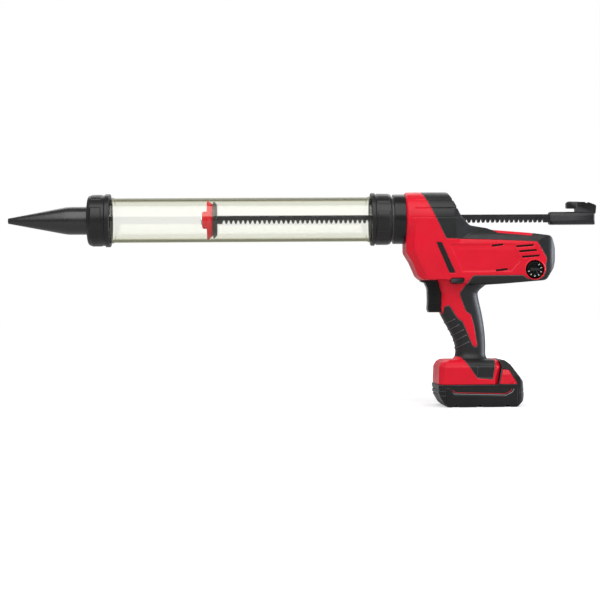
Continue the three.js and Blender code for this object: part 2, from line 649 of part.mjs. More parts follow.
const BEVEL_PITCH = (SPUR_MODULE * BEVEL_TEETH) / 2;
const BEVEL_PINION_PITCH = (SPUR_MODULE * BEVEL_PINION_TEETH) / 2;
const CONE = Math.hypot(BEVEL_PITCH, BEVEL_PINION_PITCH);

function bevelWheel() {
  const wheel = bevelGear(BEVEL_TEETH, SPUR_MODULE, CONE, BEVEL_PINION_PITCH, 2 * BACKLASH);
  const geometry = geometryOf(wheel).rotateX(Math.PI / 2).translate(DRIVE_X, 0, LAY_Z);
  const hub = rodY(9, -BEVEL_PINION_PITCH - 6, -BEVEL_PINION_PITCH + 0.2, DRIVE_X, LAY_Z);
  return cut(join(solidOf(geometry), hub), rodY(LAY_RADIUS + SHAFT_FIT, -40, 40, DRIVE_X, LAY_Z));
}

const GEARBOX_FRONT = DRIVE_X + BEVEL_PITCH + 8;
const MOTOR_FRONT = GEARBOX_FRONT + GEARBOX_LENGTH + GAP;
function bevelPinion() {
  const wheel = bevelGear(BEVEL_PINION_TEETH, SPUR_MODULE, CONE, BEVEL_PITCH, 2 * BACKLASH);
  const geometry = geometryOf(wheel).rotateZ(Math.PI / BEVEL_PINION_TEETH).rotateY(Math.PI / 2)
    .translate(DRIVE_X, 0, LAY_Z);
  const shaft = rodX(BEVEL_SHAFT, DRIVE_X + BEVEL_PITCH - 0.2, GEARBOX_FRONT + 4, LAY_Z, SMALL_ROUND);
  return join(solidOf(geometry), shaft);
}

place('drive', 'bevel_gear', bevelWheel(), steel);
place('drive', 'bevel_pinion', bevelPinion(), steel);
for (const side of [-1, 1]) {
  const hand = side < 0 ? 'left' : 'right';
  place('drive', `pinion_bearing_${hand}`, bearing(side, SHAFT_RADIUS - 1, PINION_Z), steel);
  place('drive', `lay_bearing_${hand}`, bearing(side, LAY_RADIUS - 1, LAY_Z), steel);
}

function planetaryGearbox() {
  const [x0, x1] = [GEARBOX_FRONT, GEARBOX_FRONT + GEARBOX_LENGTH];
  return turnX([
    [BEVEL_SHAFT + RUNNING, x0], [GEARBOX_RADIUS - 2, x0], [GEARBOX_RADIUS, x0 + 2],
    [GEARBOX_RADIUS, x1], [BEVEL_SHAFT + RUNNING, x1], [BEVEL_SHAFT + RUNNING, x0]], LAY_Z, SMALL_ROUND);
}

function motor() {
  const [x0, x1] = [MOTOR_FRONT, MOTOR_FRONT + MOTOR_LENGTH];
  const r = MOTOR_RADIUS;
  return turnX([
    [0, x0], [r - 1, x0], [r, x0 + 1], [r, x1 - 8], [r - 3, x1 - 5], [8, x1 - 5], [8, x1], [0, x1]], LAY_Z, SMALL_ROUND);
}

place('drive', 'planetary_gearbox', planetaryGearbox(), castAlloy);
place('drive', 'motor', motor(), blackSteel);

// ---------------------------------------------------------------- gear case
// The nose that carries the barrel, and the two cheeks that hold the cross shafts' bearings.
function gearCase() {
  const front = TUBE_REAR + GAP;
  const back = HEAD_FRONT + 12;
  const bore = SPIGOT_RADIUS - 5;
  const neck = SPIGOT_RADIUS;
  const nose = turnX([
    [0, front], [neck, front], [neck, NOSE_RING_FRONT - 2.5], [neck + 2, NOSE_RING_FRONT - 2.5],
    [neck + 2, NOSE_RING_FRONT], [NOSE_RING_RADIUS - 1, NOSE_RING_FRONT],
    [NOSE_RING_RADIUS, NOSE_RING_FRONT + 1.5], [NOSE_RING_RADIUS, HEAD_FRONT - GAP], [neck, HEAD_FRONT - GAP],
    [neck, HEAD_FRONT + SHELL + 3 * GAP], [neck + 2, HEAD_FRONT + SHELL + 3 * GAP], [neck + 2, back],
    [bore, back], [bore, front + 6], [0, front + 6]], AXIS_Z, CASE_FACETS);
  const [y0, y1] = [BEARING_INNER_Y, BEARING_INNER_Y + BEARING_WIDTH];
  const low = LAY_Z - 18;
  const bulkhead = GEARBOX_FRONT - GAP;
  const cheek = [
    [back - 4, PINION_Z - 4], [DRIVE_X - 19, low], [bulkhead, low], [bulkhead, LAY_Z + 11],
    [DRIVE_X + 17, PINION_Z - 6], [DRIVE_X + 15, AXIS_Z - 7], [back - 4, AXIS_Z - 7]];
  const cheeks = [slabY(cheek, y0, y1), slabY(cheek, -y1, -y0)];
  const wall = bar(bulkhead - 4, bulkhead, y1, low, LAY_Z + 11);
  const bored = (journal, z) => rodY(journal + BEARING_WALL + SHAFT_FIT, -y1 - 1, y1 + 1, DRIVE_X, z);
  const window = rodX(BEVEL_SHAFT + 2 * RUNNING, bulkhead - 6, bulkhead + 1, LAY_Z, SMALL_ROUND);
  return cut(join(nose, ...cheeks, wall), bored(SHAFT_RADIUS - 1, PINION_Z), bored(LAY_RADIUS - 1, LAY_Z),
    window, rackSlot(front - 1, back));
}

// The slot that the rack slides through.
function rackSlot(x0, x1) {
  return bar(x0, x1, RACK_WIDTH / 2 + GAP, RACK_TIP_Z - GAP, RACK_TOP_Z + GAP);
}

place('housing', 'gear_case', gearCase(), castAlloy);

// ---------------------------------------------------------------- housing form
// Side view of the head and motor barrel, anticlockwise, with corner radii.
const UPPER_SIDE = [
  [HEAD_FRONT, 201.5, 8], [-82.8, 189.5, 0], [-75, 171, 3], [-69, 166, 3], [-40, 166, 0], [-10, 159.5, 0],
  [13, 159, 0], [36, 160.3, 0], [92, 164.7, 8], [103, 181, 14], [108, 200, 16], [100, 223, 8],
  [74, 226.4, 0], [22, 231, 2], [17, 233.5, 2], [-8, 237, 8], [-20.5, 251.5, 0], [-34, 280.5, 5], [-42, 290, 0],
  [HEAD_FRONT, 290, 0]];

// Plan view of the lower head and motor barrel: the front corners are bevelled and the tail draws in.
const SIDE_FRONT = HEAD_FRONT + CHIN_FACET;
const UPPER_PLAN = [
  [HEAD_FRONT, -CHIN_FLAT, 0], [SIDE_FRONT, -HALF_WIDTH, 0], [SIDE_FRONT + 3, -HALF_WIDTH - 2, 0],
  [68, -HALF_WIDTH - 2, 26], [104, -28, 14], [109, 0, 0], [104, 28, 14], [68, HALF_WIDTH + 2, 26],
  [SIDE_FRONT + 3, HALF_WIDTH + 2, 0], [SIDE_FRONT, HALF_WIDTH, 0], [HEAD_FRONT, CHIN_FLAT, 0]];

// Front view of the motor barrel.
const BARREL_SECTION = [
  [-HALF_WIDTH + 2, 156, 14], [HALF_WIDTH - 2, 156, 14], [HALF_WIDTH, CHIN_Z, 0], [HALF_WIDTH - 2.5, 233.5, 22],
  [-HALF_WIDTH + 2.5, 233.5, 22], [-HALF_WIDTH, CHIN_Z, 0]];

// Where the bevel beside the chin stands at half width y, the skin moved in by d.
function chinX(y, d) {
  const rise = HALF_WIDTH - CHIN_FLAT;
  const inset = (d * Math.hypot(CHIN_FACET, rise)) / rise;
  return HEAD_FRONT + inset + ((y - CHIN_FLAT) * CHIN_FACET) / rise;
}

// The head's straight cheeks, from its widest line down to the motor barrel.
function saddle(d) {
  const r = HEAD_RADIUS - d;
  const low = HALF_WIDTH - d;
  const end = SADDLE_END - d;
  const cheeks = slabX([[-low, CHIN_Z], [low, CHIN_Z], [r, AXIS_Z], [-r, AXIS_Z]], HEAD_FRONT + d, end);
  const tail = SADDLE_TAIL - d;
  const plan = [[chinX(0, d), 0], [chinX(r, d), -r], [SADDLE_START - d / 2, -r], [end, -tail],
    [end, tail], [SADDLE_START - d / 2, r], [chinX(r, d), r]];
  return common(cheeks, slabZ(plan, CHIN_Z - 1, AXIS_Z + 1));
}

// The bevels beside the chin, which slant back with it.
function chinBevels(d) {
  const wide = 2 * HALF_WIDTH;
  const low = 150 - CHIN_Z;
  const slant = new THREE.Matrix4().makeShear(0, 0, 0, 0, -CHIN_SLANT, 0);
  return [-wide, wide].map((y) => {
    const wedge = push([[chinX(0, d), 0], [chinX(wide, d), y], [chinX(0, d), y]], -low);
    return solidOf(wedge.translate(0, 0, low).applyMatrix4(slant).translate(0, 0, CHIN_Z));
  });
}

function upperBody(d) {
  const steps = d === 0 ? 2 : 1; // the outside is the finest
  const side = slabY(shrunk(UPPER_SIDE, d, steps), -40, 40);
  const [front, back, r] = [HEAD_FRONT + d, HEAD_END - d, HEAD_RADIUS - d];
  const taper = (HEAD_RADIUS - SADDLE_TAIL) / (SADDLE_END - SADDLE_START);
  const nose = turnX([[0, front], [r - HEAD_BEVEL, front], [r, front + HEAD_BEVEL], [r, SADDLE_START - d / 2],
    [r - (HEAD_END - SADDLE_START) * taper, back], [0, back]], AXIS_Z, d < SHELL ? ROUND : SMALL_ROUND);
  const plan = slabZ(shrunk(UPPER_PLAN, d, steps), 150, 245);
  const section = slabX(shrunk(BARREL_SECTION, d, 2), HEAD_FRONT - 1, 112);
  const low = cut(common(plan, section), ...chinBevels(d));
  return common(side, join(nose, saddle(d), low));
}

// The handle: rings [z, front x, back x, half width].
const HANDLE_RINGS = [
  [172, -50, 30, 28], [158, -47.5, 15, 23], [152, -46, 8, 20.5],
  [146, -45, 6, HANDLE_HALF + 1.5], [122, -44.3, 11, HANDLE_HALF], [103, -34.3, 14.2, HANDLE_HALF], [90, -27.6, 15.4, HANDLE_HALF], [78, -24.2, 15.8, HANDLE_HALF],
  [68, -24, 15.8, HANDLE_HALF + 0.5], [62, -27, 18, HANDLE_HALF + 4], [56, -32, 26, FOOT_HALF - 9]];
const handleBody = (d) => loft(HANDLE_RINGS.map(([z, x0, x1, wide]) =>
  ringAt(z, x0 + d, x1 - d, wide - d, 2.5, d < SHELL ? 12 : 8)));

// The foot over the battery, a box with bevelled corners: rings [z, front x, rear x, half width].
const FOOT_RINGS = [
  [FOOT_BOTTOM, -46.5, 26, FOOT_HALF - 1], [36, -50, 28, FOOT_HALF], [52.5, -49.5, 31, FOOT_HALF],
  [58.5, -46.5, 29.5, FOOT_HALF - 5], [61.5, -42, 27.5, FOOT_HALF - 10]];
function footBody(d) {
  const top = FOOT_RINGS.length - 1;
  const shift = (k) => (k === 0 ? d : 0) - (k === top ? d : 0);
  const c = FOOT_CORNER;
  return loft(FOOT_RINGS.map(([z, front, rear, half], k) => {
    const [x0, x1, y] = [front + d, rear - d, half - d];
    const ring = [[x0, -y + c], [x0 + c, -y], [x1 - c, -y], [x1, -y + c],
      [x1, y - c], [x1 - c, y], [x0 + c, y], [x0, y - c]];
    return ring.map(([px, py]) => [px, py, z + shift(k)]);
  }));
}

// Each skin of the housing, the outside moved in by d.
const skins = new Map();
function bodyAt(d) {
  if (!skins.has(d)) skins.set(d, join(upperBody(d), handleBody(d), footBody(d)));
  return skins.get(d);
}

// Side view of the moulded-on rubber, anticlockwise.
const RUBBER_SIDE = [
  [-20, 290, 0], [-71, 285, 0], [-39.5, 219.5, 1], [30, 217.5, 0], [80, 215, 3], [93, 193, 3], [90.8, 185, 0],
  [91.5, 178, 4], [87.5, 169, 4], [77, 165, 4], [66, 167.5, 3], [61, 171.5, 3], [-4, 171.5, 2], [-21, 148, 6],
  [-12, 124.5, 4], [-5.3, 120, 4], [-1.5, 106, 0], [2.5, 79, 0.8], [-0.5, 77.5, 0.8], [-3, 80, 0], [-16, 111.4, 3],
  [-22.5, 115.4, 3], [-33.5, 133, 1], [-41, 130, 0], [-60, 115, 0], [-60, 67, 0], [-19, 64.9, 3], [-0.6, 37.5, 1],
  [20.3, 36, 1], [24, 59.3, 1], [20.5, 64, 0], [60, 70, 0], [60, 150, 0], [125, 150, 0], [125, 250, 0],
  [10, 250, 0]];

function half(solid, side) {
  const [y0, y1] = side < 0 ? [-BEYOND, 0] : [0, BEYOND];
  return common(solid, block(-BEYOND, BEYOND, y0, y1, -BEYOND, BEYOND));
}

// The largest single body of a solid: cutting leaves crumbs of no size where faces meet.
function whole(solid) {
  const bodies = solidOf(geometryOf(solid)).decompose();
  return bodies.reduce((a, b) => (b.volume() > a.volume() ? b : a));
}

// Vent slots: [middle x, middle z, half length].
const VENTS = [[63.4, 209.6, 11.8], [67.3, 203.1, 11.8], [71.2, 195.9, 11.8], [27.8, 210.6, 7.5], [33.2, 178.4, 7.8]];
function ventSlots() {
  const slots = [];
  for (const [x, z, reach] of VENTS) {
    const outline = [[x - reach, z - 1.9], [x + reach, z - 0.1], [x + reach, z + 1.9], [x - reach, z + 0.1]];
    for (const side of [-1, 1]) {
      const ends = [side * (HALF_WIDTH + 4), side * (HALF_WIDTH - SHELL - 4)].sort((a, b) => a - b);
      slots.push(slabY(outline, ends[0], ends[1]));
    }
  }
  return slots;
}

// Side view of the slanted trim strip on each side.
const STRIP_SIDE = [[-51.8, 215], [-34.5, 175.4], [-27.9, 176.6], [-46.6, 214.4]];
// Side view of the sunk panel on each side.
const PANEL_SIDE = rounded([[-33, 212, 1], [-18.5, 177.5, 1], [41, 177.5, 3], [49, 186, 2], [44, 212, 3]], 1);

// Grip grooves as [x, z] ends: three round each side of the head and five across the front of the handle.
const HEAD_GROOVES = [[[-77.4, 270], [-25, 270]], [[-79.6, 259.5], [-20, 259.5]], [[-84, 247.2], [-10, 247.2]]];
const HANDLE_GROOVES = [
  [[-50, 104.5], [-26.4, 114.1]], [[-45, 93.7], [-21.2, 106.9]], [[-40, 87.7], [-14.7, 100.3]],
  [[-37, 80.6], [-11.5, 93.1]], [[-35, 70.9], [-8.2, 84.5]]];
function gripGrooves() {
  const wide = GROOVE_HALF;
  const floor = bodyAt(GROOVE_DEPTH);
  const strips = [...HEAD_GROOVES, ...HANDLE_GROOVES].map(([[x0, z0], [x1, z1]]) =>
    slabY([[x0, z0 - wide], [x1, z1 - wide], [x1, z1 + wide], [x0, z0 + wide]], -50, 50));
  return strips.map((strip) => cut(strip, floor));
}

const lockOutline = (d) => rounded([
  [LOCK_X - LOCK_LENGTH / 2 - d, LOCK_Z + LOCK_HEIGHT / 2 + d, 1],
  [LOCK_X - LOCK_LENGTH / 2 - d, LOCK_Z - LOCK_HEIGHT / 2 - d, 3],
  [LOCK_X + LOCK_LENGTH / 2 + d, LOCK_Z - LOCK_HEIGHT / 2 - d, 3],
  [LOCK_X + LOCK_LENGTH / 2 + d, LOCK_Z + LOCK_HEIGHT / 2 + d, 1]], 2);

// The trigger's slot in the handle.
function triggerSlot() {
  const end = TRIGGER_TAIL + TRIGGER_TRAVEL + GAP;
  return bar(-80, end, TRIGGER_HALF + GAP, TRIGGER_BOTTOM - GAP, TRIGGER_TOP + GAP);
}

// The well under the foot that the battery's tower slides into, narrower at its rails.
function batteryWell() {
  const rails = TOWER_HALF - RAIL_DEPTH + GAP;
  return [bar(WELL_FRONT, 60, rails, FOOT_BOTTOM - 5, RAIL_TOP),
    bar(WELL_FRONT, 60, TOWER_HALF + GAP, RAIL_TOP - 0.01, TOWER_TOP + GAP)];
}

// Solid rails and roof of the well, inside the hollow foot.
function wellFrame() {
  const frame = bar(WELL_FRONT - WELL_WALL, 24, TOWER_HALF + GAP + WELL_WALL, FOOT_BOTTOM, ROOF_Z);
  return common(frame, footBody(0));
}

// Everything that passes through or sits in the shells.
function housingOpenings() {
  const nose = rodX(SPIGOT_RADIUS + GAP, HEAD_FRONT - 5, HEAD_FRONT + SHELL + 1.5);
  const rackExit = bar(-40, 8, RACK_WIDTH / 2 + GAP, RACK_TIP_Z - GAP, RACK_TOP_Z + GAP);
  const dial = rodY(DIAL_RADIUS + GAP, -45, -HALF_WIDTH + DIAL_RECESS, DIAL_X, DIAL_Z, DIAL_FACETS);
  const lock = slabY(lockOutline(GAP), -45, 45);
  return [nose, rackExit, triggerSlot(), lock, dial, ...batteryWell(), ...ventSlots()];
}

function rubberRegion(d) {
  const bare = SPINE_HALF + d;
  const spine = bar(SPINE_START - d, 125, bare, 190, 245);
  return cut(slabY(shrunk(RUBBER_SIDE, d, 1), -50, 50), spine);
}
const openings = housingOpenings();
const grooves = gripGrooves();

// Bosses that the case screws run through: [x, z].
const SCREWS = [[-60, 266], [-76, 191], [-5, 166], [96, 198], [3, 100], [-42, 53]];
const screwRod = (r, y0, y1, [x, z]) => rodY(r, y0, y1, x, z, SCREW_FACETS);

// Ribs that hold the motor and gearbox: their places along the barrel and the bore they leave.
function motorRibs() {
  const places = [[GEARBOX_FRONT + 14, GEARBOX_RADIUS], [MOTOR_FRONT + 12, MOTOR_RADIUS],
    [MOTOR_FRONT + MOTOR_LENGTH - 12, MOTOR_RADIUS]];
  const room = upperBody(SHELL / 2);
  return places.map(([x, r]) => cut(common(bar(x, x + RIB, 40, 150, RACK_TIP_Z - 5), room),
    rodX(r + GAP, x - 1, x + RIB + 1, LAY_Z, SMALL_ROUND)));
}

// Pads between the handle's walls and the switch, and between the head's walls and the gear case.
function pads() {
  const made = [];
  for (const side of [-1, 1]) {
    const span = (y0, y1) => (side < 0 ? [-y1, -y0] : [y0, y1]);
    const inSwitch = span(SWITCH_HALF + GAP, HANDLE_HALF - SHELL / 2);
    for (const z of [130, 150]) made.push(block(SWITCH_FRONT + 2, SWITCH_FRONT + 20, ...inSwitch, z, z + 3));
    const inHead = span(BEARING_INNER_Y + BEARING_WIDTH + GAP, HALF_WIDTH - SHELL / 2);
    made.push(block(DRIVE_X - 12, DRIVE_X + 12, ...inHead, LAY_Z - 12, LAY_Z - 9));
  }
  return made;
}

function dialBoss() {
  return rodY(DIAL_RADIUS + RIB, -HALF_WIDTH + SHELL - 1, -HALF_WIDTH + DIAL_RECESS, DIAL_X, DIAL_Z, DIAL_FACETS);
}

const fitted = [...motorRibs(), ...pads(), dialBoss(), wellFrame()];
function housingShell(side) {
  const bosses = SCREWS.map((at) => common(screwRod(5, -40, 40, at), bodyAt(SHELL / 2)));
  const bores = SCREWS.flatMap((at) => [screwRod(1.9, -SCREW_SEAT - 2, 1, at),
    screwRod(2.1, -1, SCREW_SEAT + 1, at), screwRod(SCREW_HEAD + GAP, SCREW_SEAT, 50, at)]);
  const skin = join(cut(bodyAt(0), bodyAt(SHELL)), ...fitted, ...bosses);
  const pocket = cut(rubberRegion(0), bodyAt(RUBBER + GAP));
  const panel = cut(slabY(PANEL_SIDE, -50, 50), bodyAt(PANEL_DEPTH));
  const strips = cut(slabY(STRIP_SIDE, -50, 50), bodyAt(STRIP_DEPTH + GAP));
  return whole(half(cut(skin, pocket, panel, strips, ...grooves, ...bores, ...openings), side));
}

function rubberGrip(side) {
  const through = SCREWS.map((at) => screwRod(SCREW_HEAD + 1, 1, 50, at));
  const grip = cut(common(bodyAt(0), rubberRegion(GAP)), bodyAt(RUBBER));
  return whole(half(cut(grip, ...grooves, ...openings, ...through), side));
}

function sideStrip(side) {
  const outline = shrunk(STRIP_SIDE.map(([x, z]) => [x, z, 0]), GAP);
  const strip = cut(common(bodyAt(0), slabY(outline, -50, 50)), bodyAt(STRIP_DEPTH));
  return whole(half(strip, side));
}

function caseScrew([x, z]) {
  const y = SCREW_SEAT + GAP;
  return turnY([[0, -SCREW_SEAT], [1.6, -SCREW_SEAT], [1.6, y], [SCREW_HEAD, y], [SCREW_HEAD, y + 2.4],
    [0, y + 2.4]], x, z, SCREW_FACETS);
}
SCREWS.forEach((at, k) => place('housing', `case_screw_${k + 1}`, caseScrew(at), steel));

const HANDS = [[-1, 'left'], [1, 'right']];
for (const [side, hand] of HANDS) {
  place('housing', `housing_${hand}`, housingShell(side), redPlastic);
  place('housing', `rubber_grip_${hand}`, rubberGrip(side), rubber);
  place('housing', `side_strip_${hand}`, sideStrip(side), blackPlastic);
}

// The rear rack guide, shaped to the inside of the slope that the rack leaves through.
function rackGuide() {
  const pad = bar(DRIVE_X + 19.5, 5, RACK_WIDTH / 2 + 4, RACK_TIP_Z - 5, RACK_TOP_Z + 5);
  return whole(cut(common(pad, bodyAt(SHELL + GAP)), rackSlot(-60, 20)));
}
place('housing', 'rack_guide', rackGuide(), castAlloy);

// ---------------------------------------------------------------- trigger and controls
function trigger() {
  const front = rounded([
    [-71.2, TRIGGER_TOP, 0.4], [-68.6, 163.4, 2], [-64.6, 162.6, 2], [-60.8, 155, 8], [-60.3, 139, 0], [-61, 127.5, 2],
    [-59.5, TRIGGER_BOTTOM, 1], [TRIGGER_TAIL, TRIGGER_BOTTOM, 0], [TRIGGER_TAIL, 159, 0], [-46, 159, 0],
    [-46, TRIGGER_TOP, 0]], 4);
  const y = TRIGGER_HALF;
  const plan = rounded([[-75, -y + 1.5, 2], [-58, -y, 6], [TRIGGER_TAIL, -y, 0], [TRIGGER_TAIL, y, 0], [-58, y, 6],
    [-75, y - 1.5, 2]], 3);
  const pocket = rodX(SPRING_RADIUS + 0.6, TRIGGER_TAIL - 6, TRIGGER_TAIL + 1, SPRING_Z, SMALL_ROUND);
  return cut(common(slabY(front, -y, y), slabZ(plan, 120, 170)), pocket);
}

// A coil spring along X.
class Helix extends THREE.Curve {
  getPoint(t, target = new THREE.Vector3()) {
    const [x0, x1] = [TRIGGER_TAIL - 5.2, SWITCH_FRONT - 0.9];
    const a = t * 2 * Math.PI * 5;
    const r = SPRING_RADIUS - 0.6;
    return target.set(x0 + (x1 - x0) * t, r * Math.cos(a), SPRING_Z + r * Math.sin(a));
  }
}
function triggerSpring() {
  const wire = new THREE.Shape(new THREE.EllipseCurve(0, 0, 0.5, 0.5).getPoints(4).slice(0, 4));
  return solidOf(new THREE.ExtrudeGeometry(wire, { steps: 32, extrudePath: new Helix() }));
}

function triggerSwitch() {
  const body = block(SWITCH_FRONT, SWITCH_FRONT + 26, -SWITCH_HALF, SWITCH_HALF, 126, 157);
  const roof = block(SWITCH_FRONT + 4, SWITCH_FRONT + 22, -7, 7, 124, 126.2);
  return join(body, roof);
}

place('controls', 'trigger', trigger(), blackPlastic);
place('controls', 'trigger_spring', triggerSpring(), steel);
place('controls', 'trigger_switch', triggerSwitch(), blackPlastic);
place('controls', 'lock_button', slabY(lockOutline(0), -HALF_WIDTH, HALF_WIDTH), blackPlastic);

const DIAL_FACE = -HALF_WIDTH + 0.4;
function speedDial() {
  const y0 = DIAL_FACE;
  const r = DIAL_RADIUS;
  const knob = turnY([[0, y0 + 1], [r - 3, y0 + 1], [r - 2.4, y0], [r - 0.8, y0], [r, y0 + 0.8],
    [r, y0 + DIAL_THICK], [DIAL_STEM, y0 + DIAL_THICK], [DIAL_STEM, y0 + 9], [0, y0 + 9]],
  DIAL_X, DIAL_Z, DIAL_FACETS);
  const grip = bar(DIAL_X - r + 2.6, DIAL_X + r - 2.6, 40, DIAL_Z - 1.4, DIAL_Z + 1.4);
  const ridge = common(grip, rodY(r, y0, y0 + 2, DIAL_X, DIAL_Z, DIAL_FACETS));
  const flutes = [];
  for (let k = 0; k < DIAL_FLUTES; k++) {
    const a = ((k + 0.5) * 2 * Math.PI) / DIAL_FLUTES;
    flutes.push(rodY(1.1, y0 - 1, y0 + 3.4, DIAL_X + r * Math.cos(a), DIAL_Z + r * Math.sin(a), 4));
  }
  return cut(join(knob, ridge), ...flutes);
}
place('controls', 'speed_dial', speedDial(), blackPlastic);
function dialPotentiometer() {
  const y0 = -HALF_WIDTH + DIAL_RECESS + GAP;
  const body = block(DIAL_X - 10, DIAL_X + 10, y0, y0 + 8, DIAL_Z - 9, DIAL_Z + 9);
  return cut(body, rodY(DIAL_STEM + RUNNING, y0 - 1, y0 + 5, DIAL_X, DIAL_Z));
}
place('controls', 'dial_potentiometer', dialPotentiometer(), board);

// ---------------------------------------------------------------- battery
// Side view of the battery case, anticlockwise; its back rises behind the foot.
const BATTERY_SIDE = [
  [-51, BATTERY_TOP, 1], [-50.5, 16, 4], [-43.5, 4, 3], [-39, 0, 4], [51.5, 0, 5], [59.5, 7.5, 5], [61, 15, 0],
  [59.5, 33.5, 3], [49, 47.6, 2], [43.5, 55.4, 2], [36, 61, 2], [28.5, 61, 1], [32, 52.5, 0], [26.9, BATTERY_TOP, 0]];
const BATTERY_PLAN = [
  [-55, -BATTERY_HALF + 2, 10], [-20, -BATTERY_HALF, 0], [62, -BATTERY_HALF, 10], [62, BATTERY_HALF, 10],
  [-20, BATTERY_HALF, 0], [-55, BATTERY_HALF - 2, 10]];
const BATTERY_SECTION = [
  [-BATTERY_HALF, -1, 4], [BATTERY_HALF, -1, 4], [BATTERY_HALF, 40, 0], [BATTERY_HALF - 6, 64, 5],
  [-BATTERY_HALF + 6, 64, 5], [-BATTERY_HALF, 40, 0]];

const LATCH_SIDE = [[28.8, 30], [51.5, 30], [51, 32], [46.4, 39], [41.2, 48], [33.3, 49.2]];
const latchPrism = (d, y0, y1) => slabY(shrunk(LATCH_SIDE.map(([x, z]) => [x, z, 1]), -d, 1), y0, y1);

// The sunk band for the label along each side, left bare.
const LABEL_SIDE = [
  [-45.6, 27.2], [-35.2, 23.5], [-31.3, 15.9], [35.2, 14], [45.6, 19.1], [49.6, 25.5], [27, 25.5], [26, 27.2]];

function batteryTower() {
  const x0 = WELL_FRONT + TERMINAL_DEPTH + 2 * GAP;
  const tower = join(bar(x0, TOWER_END, TOWER_HALF - RAIL_DEPTH, BATTERY_TOP - 2, RAIL_TOP + 2),
    bar(x0, TOWER_END, TOWER_HALF, RAIL_TOP + GAP, TOWER_TOP));
  const slots = BLADES.map((y) => block(x0 - 1, x0 + BLADE_REACH + 2, y - BLADE_HALF - 0.4, y + BLADE_HALF + 0.4,
    BLADE_LOW - 0.5, BLADE_LOW + BLADE_HEIGHT + 0.5));
  return cut(tower, ...slots);
}

// The battery's outer form, moved in by d.
function batteryForm(d) {
  return common(slabY(shrunk(BATTERY_SIDE, d, 2), -50, 50), slabZ(shrunk(BATTERY_PLAN, d, 3), -5, 70),
    slabX(shrunk(BATTERY_SECTION, d, 2), -70, 70));
}
function batteryCavity() {
  const floor = common(batteryForm(BATTERY_WALL), bar(-BEYOND, BEYOND, BEYOND, 0, BATTERY_TOP - BATTERY_WALL));
  return join(floor, bar(TOWER_END + BATTERY_WALL, 52, 20, 20, 44));
}

function batteryCase() {
  const shell = cut(join(batteryForm(0), batteryTower()), batteryCavity());
  const upper = cut(shell, bar(-BEYOND, BEYOND, BEYOND, -5, BATTERY_SEAM + GAP));
  const depth = LATCH_THICK + LATCH_TRAVEL + 2 * GAP;
  const face = BATTERY_HALF - LATCH_SUNK;
  const deep = BATTERY_HALF - LABEL_DEPTH;
  return whole(cut(upper, latchPrism(GAP, -60, -face + depth), latchPrism(GAP, face - depth, 60),
    slabY(LABEL_SIDE, -60, -deep), slabY(LABEL_SIDE, deep, 60)));
}

// The base, with the shallow notches that run across its underside.
function batteryBase() {
  const shell = cut(batteryForm(0), batteryCavity());
  const notches = BASE_NOTCHES.map((x) => slabY(
    [[x - 2.5, -1], [x + 2.5, -1], [x + 1.3, 0.8], [x - 1.3, 0.8]], -BATTERY_HALF - 1, BATTERY_HALF + 1));
  return whole(cut(shell, bar(-BEYOND, BEYOND, BEYOND, BATTERY_SEAM, 80), ...notches));
}

place('battery', 'battery_case', batteryCase(), blackPlastic);
place('battery', 'battery_base', batteryBase(), blackPlastic);
for (const [side, hand] of HANDS) {
  const face = BATTERY_HALF - LATCH_SUNK;
  const ends = [side * face, side * (face - LATCH_THICK)].sort((a, b) => a - b);
  place('battery', `battery_latch_${hand}`, common(latchPrism(0, ends[0], ends[1]), batteryForm(0)), redPlastic);
}
for (let k = 0; k < CELL_COUNT; k++) {
  const x = CELL_START + k * CELL_STEP;
  const z = BATTERY_WALL + GAP + CELL_RADIUS;
  const cell = rodY(CELL_RADIUS, -CELL_LENGTH / 2, CELL_LENGTH / 2, x, z, SMALL_ROUND);
  place('battery', `cell_${k + 1}`, cell, cellWrap);
}

// ---------------------------------------------------------------- in the foot
function terminalBlock() {
  const x0 = WELL_FRONT + GAP;
  const body = bar(x0, x0 + TERMINAL_DEPTH, 18, RAIL_TOP + 1, TOWER_TOP - 1);
  const blades = BLADES.map((y) => block(x0 + 1, x0 + TERMINAL_DEPTH + BLADE_REACH, y - BLADE_HALF,
    y + BLADE_HALF, BLADE_LOW, BLADE_LOW + BLADE_HEIGHT));
  return join(body, ...blades);
}
place('housing', 'terminal_block', terminalBlock(), blackPlastic);
place('housing', 'control_board', bar(-36.5, 14, 21, ROOF_Z + GAP, ROOF_Z + GAP + 1.6), board);

export default gun;
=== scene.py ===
"""Finishes a battery-powered caulking gun: every visible piece, the floor, the lights and the camera.

The drawings below are in millimetres, in the part's own frame: +Z up, the nozzle points to -X,
and the gun stands on its battery with the origin in the middle of the battery's underside.
"""
import math

import bmesh
import bpy
from bpy.props import FloatProperty, FloatVectorProperty, IntProperty, PointerProperty
from mathutils import Matrix, Vector


